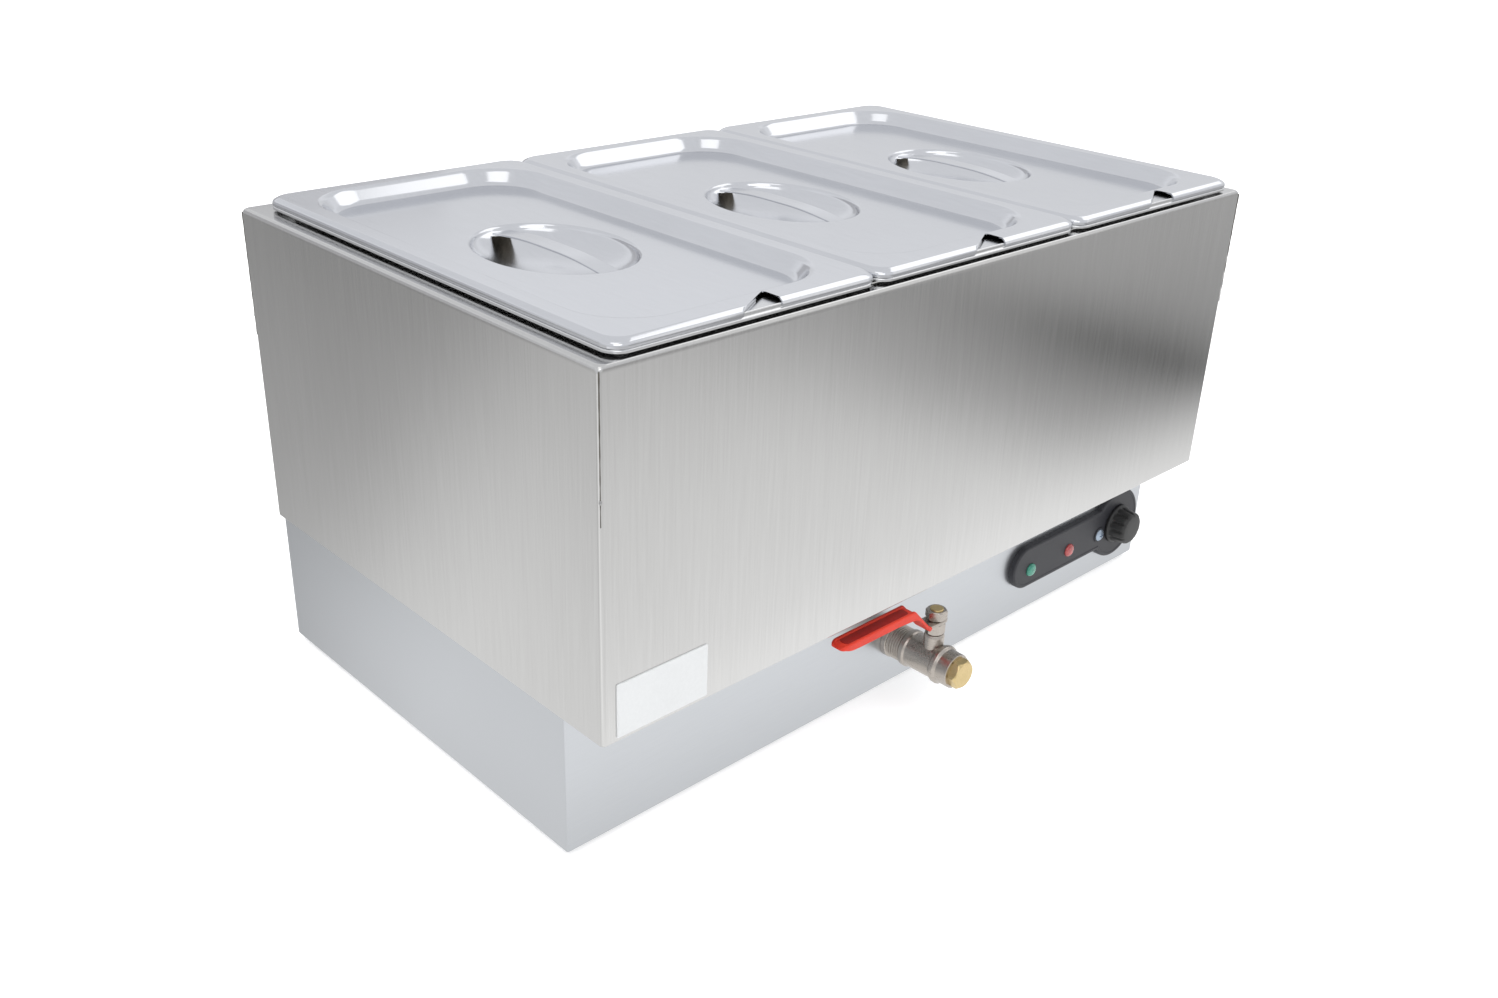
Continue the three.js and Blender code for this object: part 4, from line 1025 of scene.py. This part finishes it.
def build_camera():
    """The camera stands at the front left, looks down on the unit and leans a little."""
    azimuth, dip, roll = (math.radians(a) for a in (CAMERA_AZIMUTH, CAMERA_DIP, CAMERA_ROLL))
    away = math.cos(dip)
    forward = Vector((math.sin(azimuth) * away, math.cos(azimuth) * away, -math.sin(dip)))
    level = Vector((math.cos(azimuth), -math.sin(azimuth), 0))
    over = level.cross(forward)
    right = math.cos(roll) * level + math.sin(roll) * over
    up = -math.sin(roll) * level + math.cos(roll) * over
    data = bpy.data.cameras.new("photo_camera")
    data.lens = CAMERA_LENS
    data.sensor_width = 36
    data.clip_start, data.clip_end = 0.02, 60
    camera = bpy.data.objects.new("photo_camera", data)
    turn = Matrix((right, up, -forward)).transposed().to_4x4()
    camera.matrix_world = Matrix.Translation(CAMERA_AT) @ turn
    bpy.context.scene.collection.objects.link(camera)
    bpy.context.scene.camera = camera


def softbox(name, position, target, size, power):
    data = bpy.data.lights.new(name, "AREA")
    data.shape = "RECTANGLE"
    data.size, data.size_y = size
    data.energy = power
    light = bpy.data.objects.new(name, data)
    direction = Vector(target) - Vector(position)
    turn = direction.to_track_quat("-Z", "Y").to_matrix().to_4x4()
    light.matrix_world = Matrix.Translation(position) @ turn
    bpy.context.scene.collection.objects.link(light)


def even_daylight():
    """A very soft sun, which leaves no bright patch in the steel."""
    sun = bpy.data.lights.new("even_daylight", "SUN")
    sun.energy = 2.2
    sun.angle = math.radians(80)
    daylight = bpy.data.objects.new("even_daylight", sun)
    daylight.rotation_euler = (math.radians(10), math.radians(-8), 0)
    daylight.visible_glossy = False
    bpy.context.scene.collection.objects.link(daylight)


def grey_ramp(tree, source, stops):
    """A grey that follows `source` through (at, value) stops, in steps of straight lines."""
    start, end = stops[0][0], stops[-1][0]
    spread = tree.nodes.new("ShaderNodeMapRange")
    set_sockets(spread, From_Min=start, From_Max=end)
    link(tree, source, spread.inputs["Value"])
    ramp = tree.nodes.new("ShaderNodeValToRGB")
    elements = ramp.color_ramp.elements
    for element, position, (_, value) in zip(elements, (0.0, 1.0), (stops[0], stops[-1])):
        element.position, element.color = position, (value, value, value, 1)
    for at, value in stops[1:-1]:
        elements.new((at - start) / (end - start)).color = (value, value, value, 1)
    link(tree, spread.outputs["Result"], ramp.inputs["Fac"])
    return ramp.outputs["Color"]


def maths(tree, operation, a, b):
    node = tree.nodes.new("ShaderNodeMath")
    node.operation = operation
    for socket, value in zip(node.inputs, (a, b)):
        if isinstance(value, float):
            socket.default_value = value
        else:
            link(tree, value, socket)
    return node.outputs["Value"]


def flat_object(name, corners, material):
    bm = bmesh.new()
    bm.faces.new([bm.verts.new(corner) for corner in corners])
    mesh = bpy.data.meshes.new(name)
    bm.to_mesh(mesh)
    bm.free()
    mesh.materials.append(material)
    obj = bpy.data.objects.new(name, mesh)
    bpy.context.scene.collection.objects.link(obj)
    return obj


def level_corners(x0, x1, y0, y1, z):
    return [(x0, y0, z), (x1, y0, z), (x1, y1, z), (x0, y1, z)]


def reflected_card(name, corners, tone, strength=1.0):
    """A card that only mirror-like surfaces see. It stands for the room or table round the unit."""
    material = bpy.data.materials.new(name)
    material.use_nodes = True
    tree = material.node_tree
    tree.nodes.clear()
    glow = tree.nodes.new("ShaderNodeEmission")
    set_sockets(glow, Strength=strength)
    if callable(tone):
        place = tree.nodes.new("ShaderNodeTexCoord")
        axes = tree.nodes.new("ShaderNodeSeparateXYZ")
        link(tree, place.outputs["Object"], axes.inputs["Vector"])
        link(tree, tone(tree, axes.outputs["X"], axes.outputs["Y"]), glow.inputs["Color"])
    else:
        set_sockets(glow, Color=(*tone, 1))
    out = tree.nodes.new("ShaderNodeOutputMaterial")
    link(tree, glow.outputs["Emission"], out.inputs["Surface"])
    card = flat_object(name, corners, material)
    card.visible_camera = False
    card.visible_diffuse = False
    card.visible_shadow = False
    card.visible_transmission = False


def table_front(tree, x, y):
    """The table in front: dull against the unit, a painted contact shadow, then bright, then
    darker, with a band of painted shade at right.
    """
    away = maths(tree, "MULTIPLY", y, -1.0)
    stops = [(0.20, 1.0), (0.30, 0.92), (0.37, 0.76), (0.45, 0.56), (0.53, 0.43), (0.61, 0.29)]
    stops += [(0.69, 0.10), (0.75, 0.24), (0.80, 0.34), (0.90, 0.45), (1.40, 0.50)]
    band = grey_ramp(tree, x, stops)
    stops = [(0.20, 0.9), (0.27, 0.8), (0.32, 0.5), (0.355, 0.15), (0.39, 0.0)]
    stops += [(0.48, 0.0), (0.54, 0.06), (0.60, 0.16), (0.735, 0.42), (1.0, 0.5)]
    wash = grey_ramp(tree, away, stops)
    unbanded = maths(tree, "SUBTRACT", 1.0, band)
    pale = maths(tree, "ADD", band, maths(tree, "MULTIPLY", wash, unbanded))
    # painted contact shadow: the table is duller right next to the unit
    stops = [(0.12, 0.56), (0.15, 0.62), (0.175, 0.67), (0.20, 0.72), (0.27, 0.745), (0.32, 0.65)]
    stops += [(0.39, 0.61), (0.48, 0.585), (0.54, 0.56), (0.60, 0.54), (0.735, 0.47), (1.0, 0.40)]
    return maths(tree, "MULTIPLY", pale, grey_ramp(tree, away, stops))


def table_left(tree, x, y):
    """The table at the left end: it gets duller away from the unit and across a slanting edge."""
    edge = maths(tree, "ADD", maths(tree, "ADD", y, 0.08), maths(tree, "MULTIPLY", x, 0.95))
    stops = [(-0.16, 1.0), (-0.08, 0.88), (-0.01, 0.72), (0.06, 0.60), (0.15, 0.54), (0.40, 0.52)]
    drop = grey_ramp(tree, edge, stops)
    away = maths(tree, "MULTIPLY", x, -1.0)
    stops = [(0.27, 0.56), (0.31, 0.60), (0.356, 0.60), (0.484, 0.54), (0.716, 0.44), (1.0, 0.41)]
    return maths(tree, "MULTIPLY", drop, grey_ramp(tree, away, stops))


def table_right(tree, x, y):
    return table_left(tree, maths(tree, "MULTIPLY", x, -1.0), y)


def table_back(tree, x, y):
    return grey_ramp(tree, y, [(0.15, 0.50), (0.4, 0.44), (1.0, 0.36), (3.0, 0.34)])


def build_world():
    """The room by height: pale, brighter in a band above the horizon, and white underfoot."""
    world = bpy.data.worlds.new("studio")
    world.use_nodes = True
    tree = world.node_tree
    place = tree.nodes.new("ShaderNodeTexCoord")
    axes = tree.nodes.new("ShaderNodeSeparateXYZ")
    link(tree, place.outputs["Generated"], axes.inputs["Vector"])
    stops = [(-1.0, 1.20), (-0.4, 1.0), (-0.1, 0.8), (0.03, 0.80), (0.20, 0.80), (0.25, 0.85)]
    stops += [(0.33, 0.98), (0.40, 0.92), (0.46, 0.86), (1.0, 0.86)]
    tone = grey_ramp(tree, axes.outputs["Z"], stops)
    tint = tree.nodes.new("ShaderNodeMix")
    tint.data_type = "RGBA"
    tint.blend_type = "MULTIPLY"
    set_sockets(tint, Factor=1.0)
    colour_a, colour_b, result = tint.inputs[6], tint.inputs[7], tint.outputs[2]
    link(tree, tone, colour_a)
    colour_b.default_value = (0.965, 0.975, 1.0, 1)
    background = tree.nodes["Background"]
    link(tree, result, background.inputs["Color"])
    set_sockets(background, Strength=1.0)
    bpy.context.scene.world = world


def build_floor():
    """A plain pale floor, with a faint glow that keeps it white."""
    reach = 9.0
    paper = procedural(
        "matt_white_floor", grey(0.90), grey(0.93), rough=(0.75, 0.85), grain=(3, 3, 3), bump=0.0,
        blotch=1.0,
    )
    shader = paper.node_tree.nodes["Principled BSDF"]
    set_sockets(shader, Emission_Color=(1, 1, 1, 1), Emission_Strength=0.3)
    floor = flat_object("floor", level_corners(-reach, reach, -reach, reach, 0), paper)
    floor.visible_glossy = False


def far_card(name, azimuth, elevation, half_width, half_height, strength):
    """A white card far from the unit; its place and size are angles seen from there, in degrees."""
    distance = 2.4
    turn, rise = math.radians(azimuth), math.radians(elevation)
    flat = math.cos(rise)
    away = Vector((math.sin(turn) * flat, math.cos(turn) * flat, math.sin(rise)))
    side = Vector((math.cos(turn), -math.sin(turn), 0))
    over = side.cross(away)
    u, v = (distance * math.tan(math.radians(a)) for a in (half_width, half_height))
    square = ((-1, -1), (1, -1), (1, 1), (-1, 1))
    corners = [away * distance + side * a * u + over * b * v for a, b in square]
    reflected_card(name, corners, (1.0, 1.0, 1.0), strength)


def build_studio():
    build_world()
    build_floor()
    even_daylight()
    softbox("front_softbox", (-1.2, -1.6, 1.4), (0, 0, 0.1), (1.4, 1.0), 5)

    z = 0.002
    front, back, left, right = -0.12, 0.15, -0.26, 0.29  # the cards' edges under the unit
    far = 3.0
    table_glow = 1.64
    for name, corners, tone in (
        ("table_front", level_corners(-1.2, 5, -far, front, z), table_front),
        ("table_left", level_corners(-far, left, front, far, z), table_left),
        ("table_right", level_corners(right, far, front, far, z), table_right),
        ("table_back", level_corners(left, right, back, far, z), table_back),
    ):
        reflected_card(name, corners, tone, table_glow)
    wall = [(1.13, 2.23, 0), (-1.8, 1.9, 0), (-1.8, 1.9, 0.9), (1.13, 2.23, 0.9)]
    reflected_card("dull_wall_back", wall, (0.55, 0.55, 0.57))
    far_card("softbox_right", 107, 46, 20, 15, 1.55)
    far_card("low_glow_right", 136, 14, 11, 16, 0.98)
    far_card("high_softbox_left", 236, 62, 13, 13, 1.5)


bpy.context.scene.view_settings.view_transform = "Standard"

build_camera()
finish_carried_nodes()
build_casing()
build_corner_seams()
build_base()
build_tank()
for number in (1, 2, 3):
    build_pan(number)
    build_lid(number)
build_valve()
build_lever()
build_fascia()
build_lamp("green_lamp", "green_lamp_dome", green_lens)
build_lamp("red_lamp", "red_lamp_dome", red_lens)
build_fascia_screw()
build_knob()
build_badge()
build_studio()
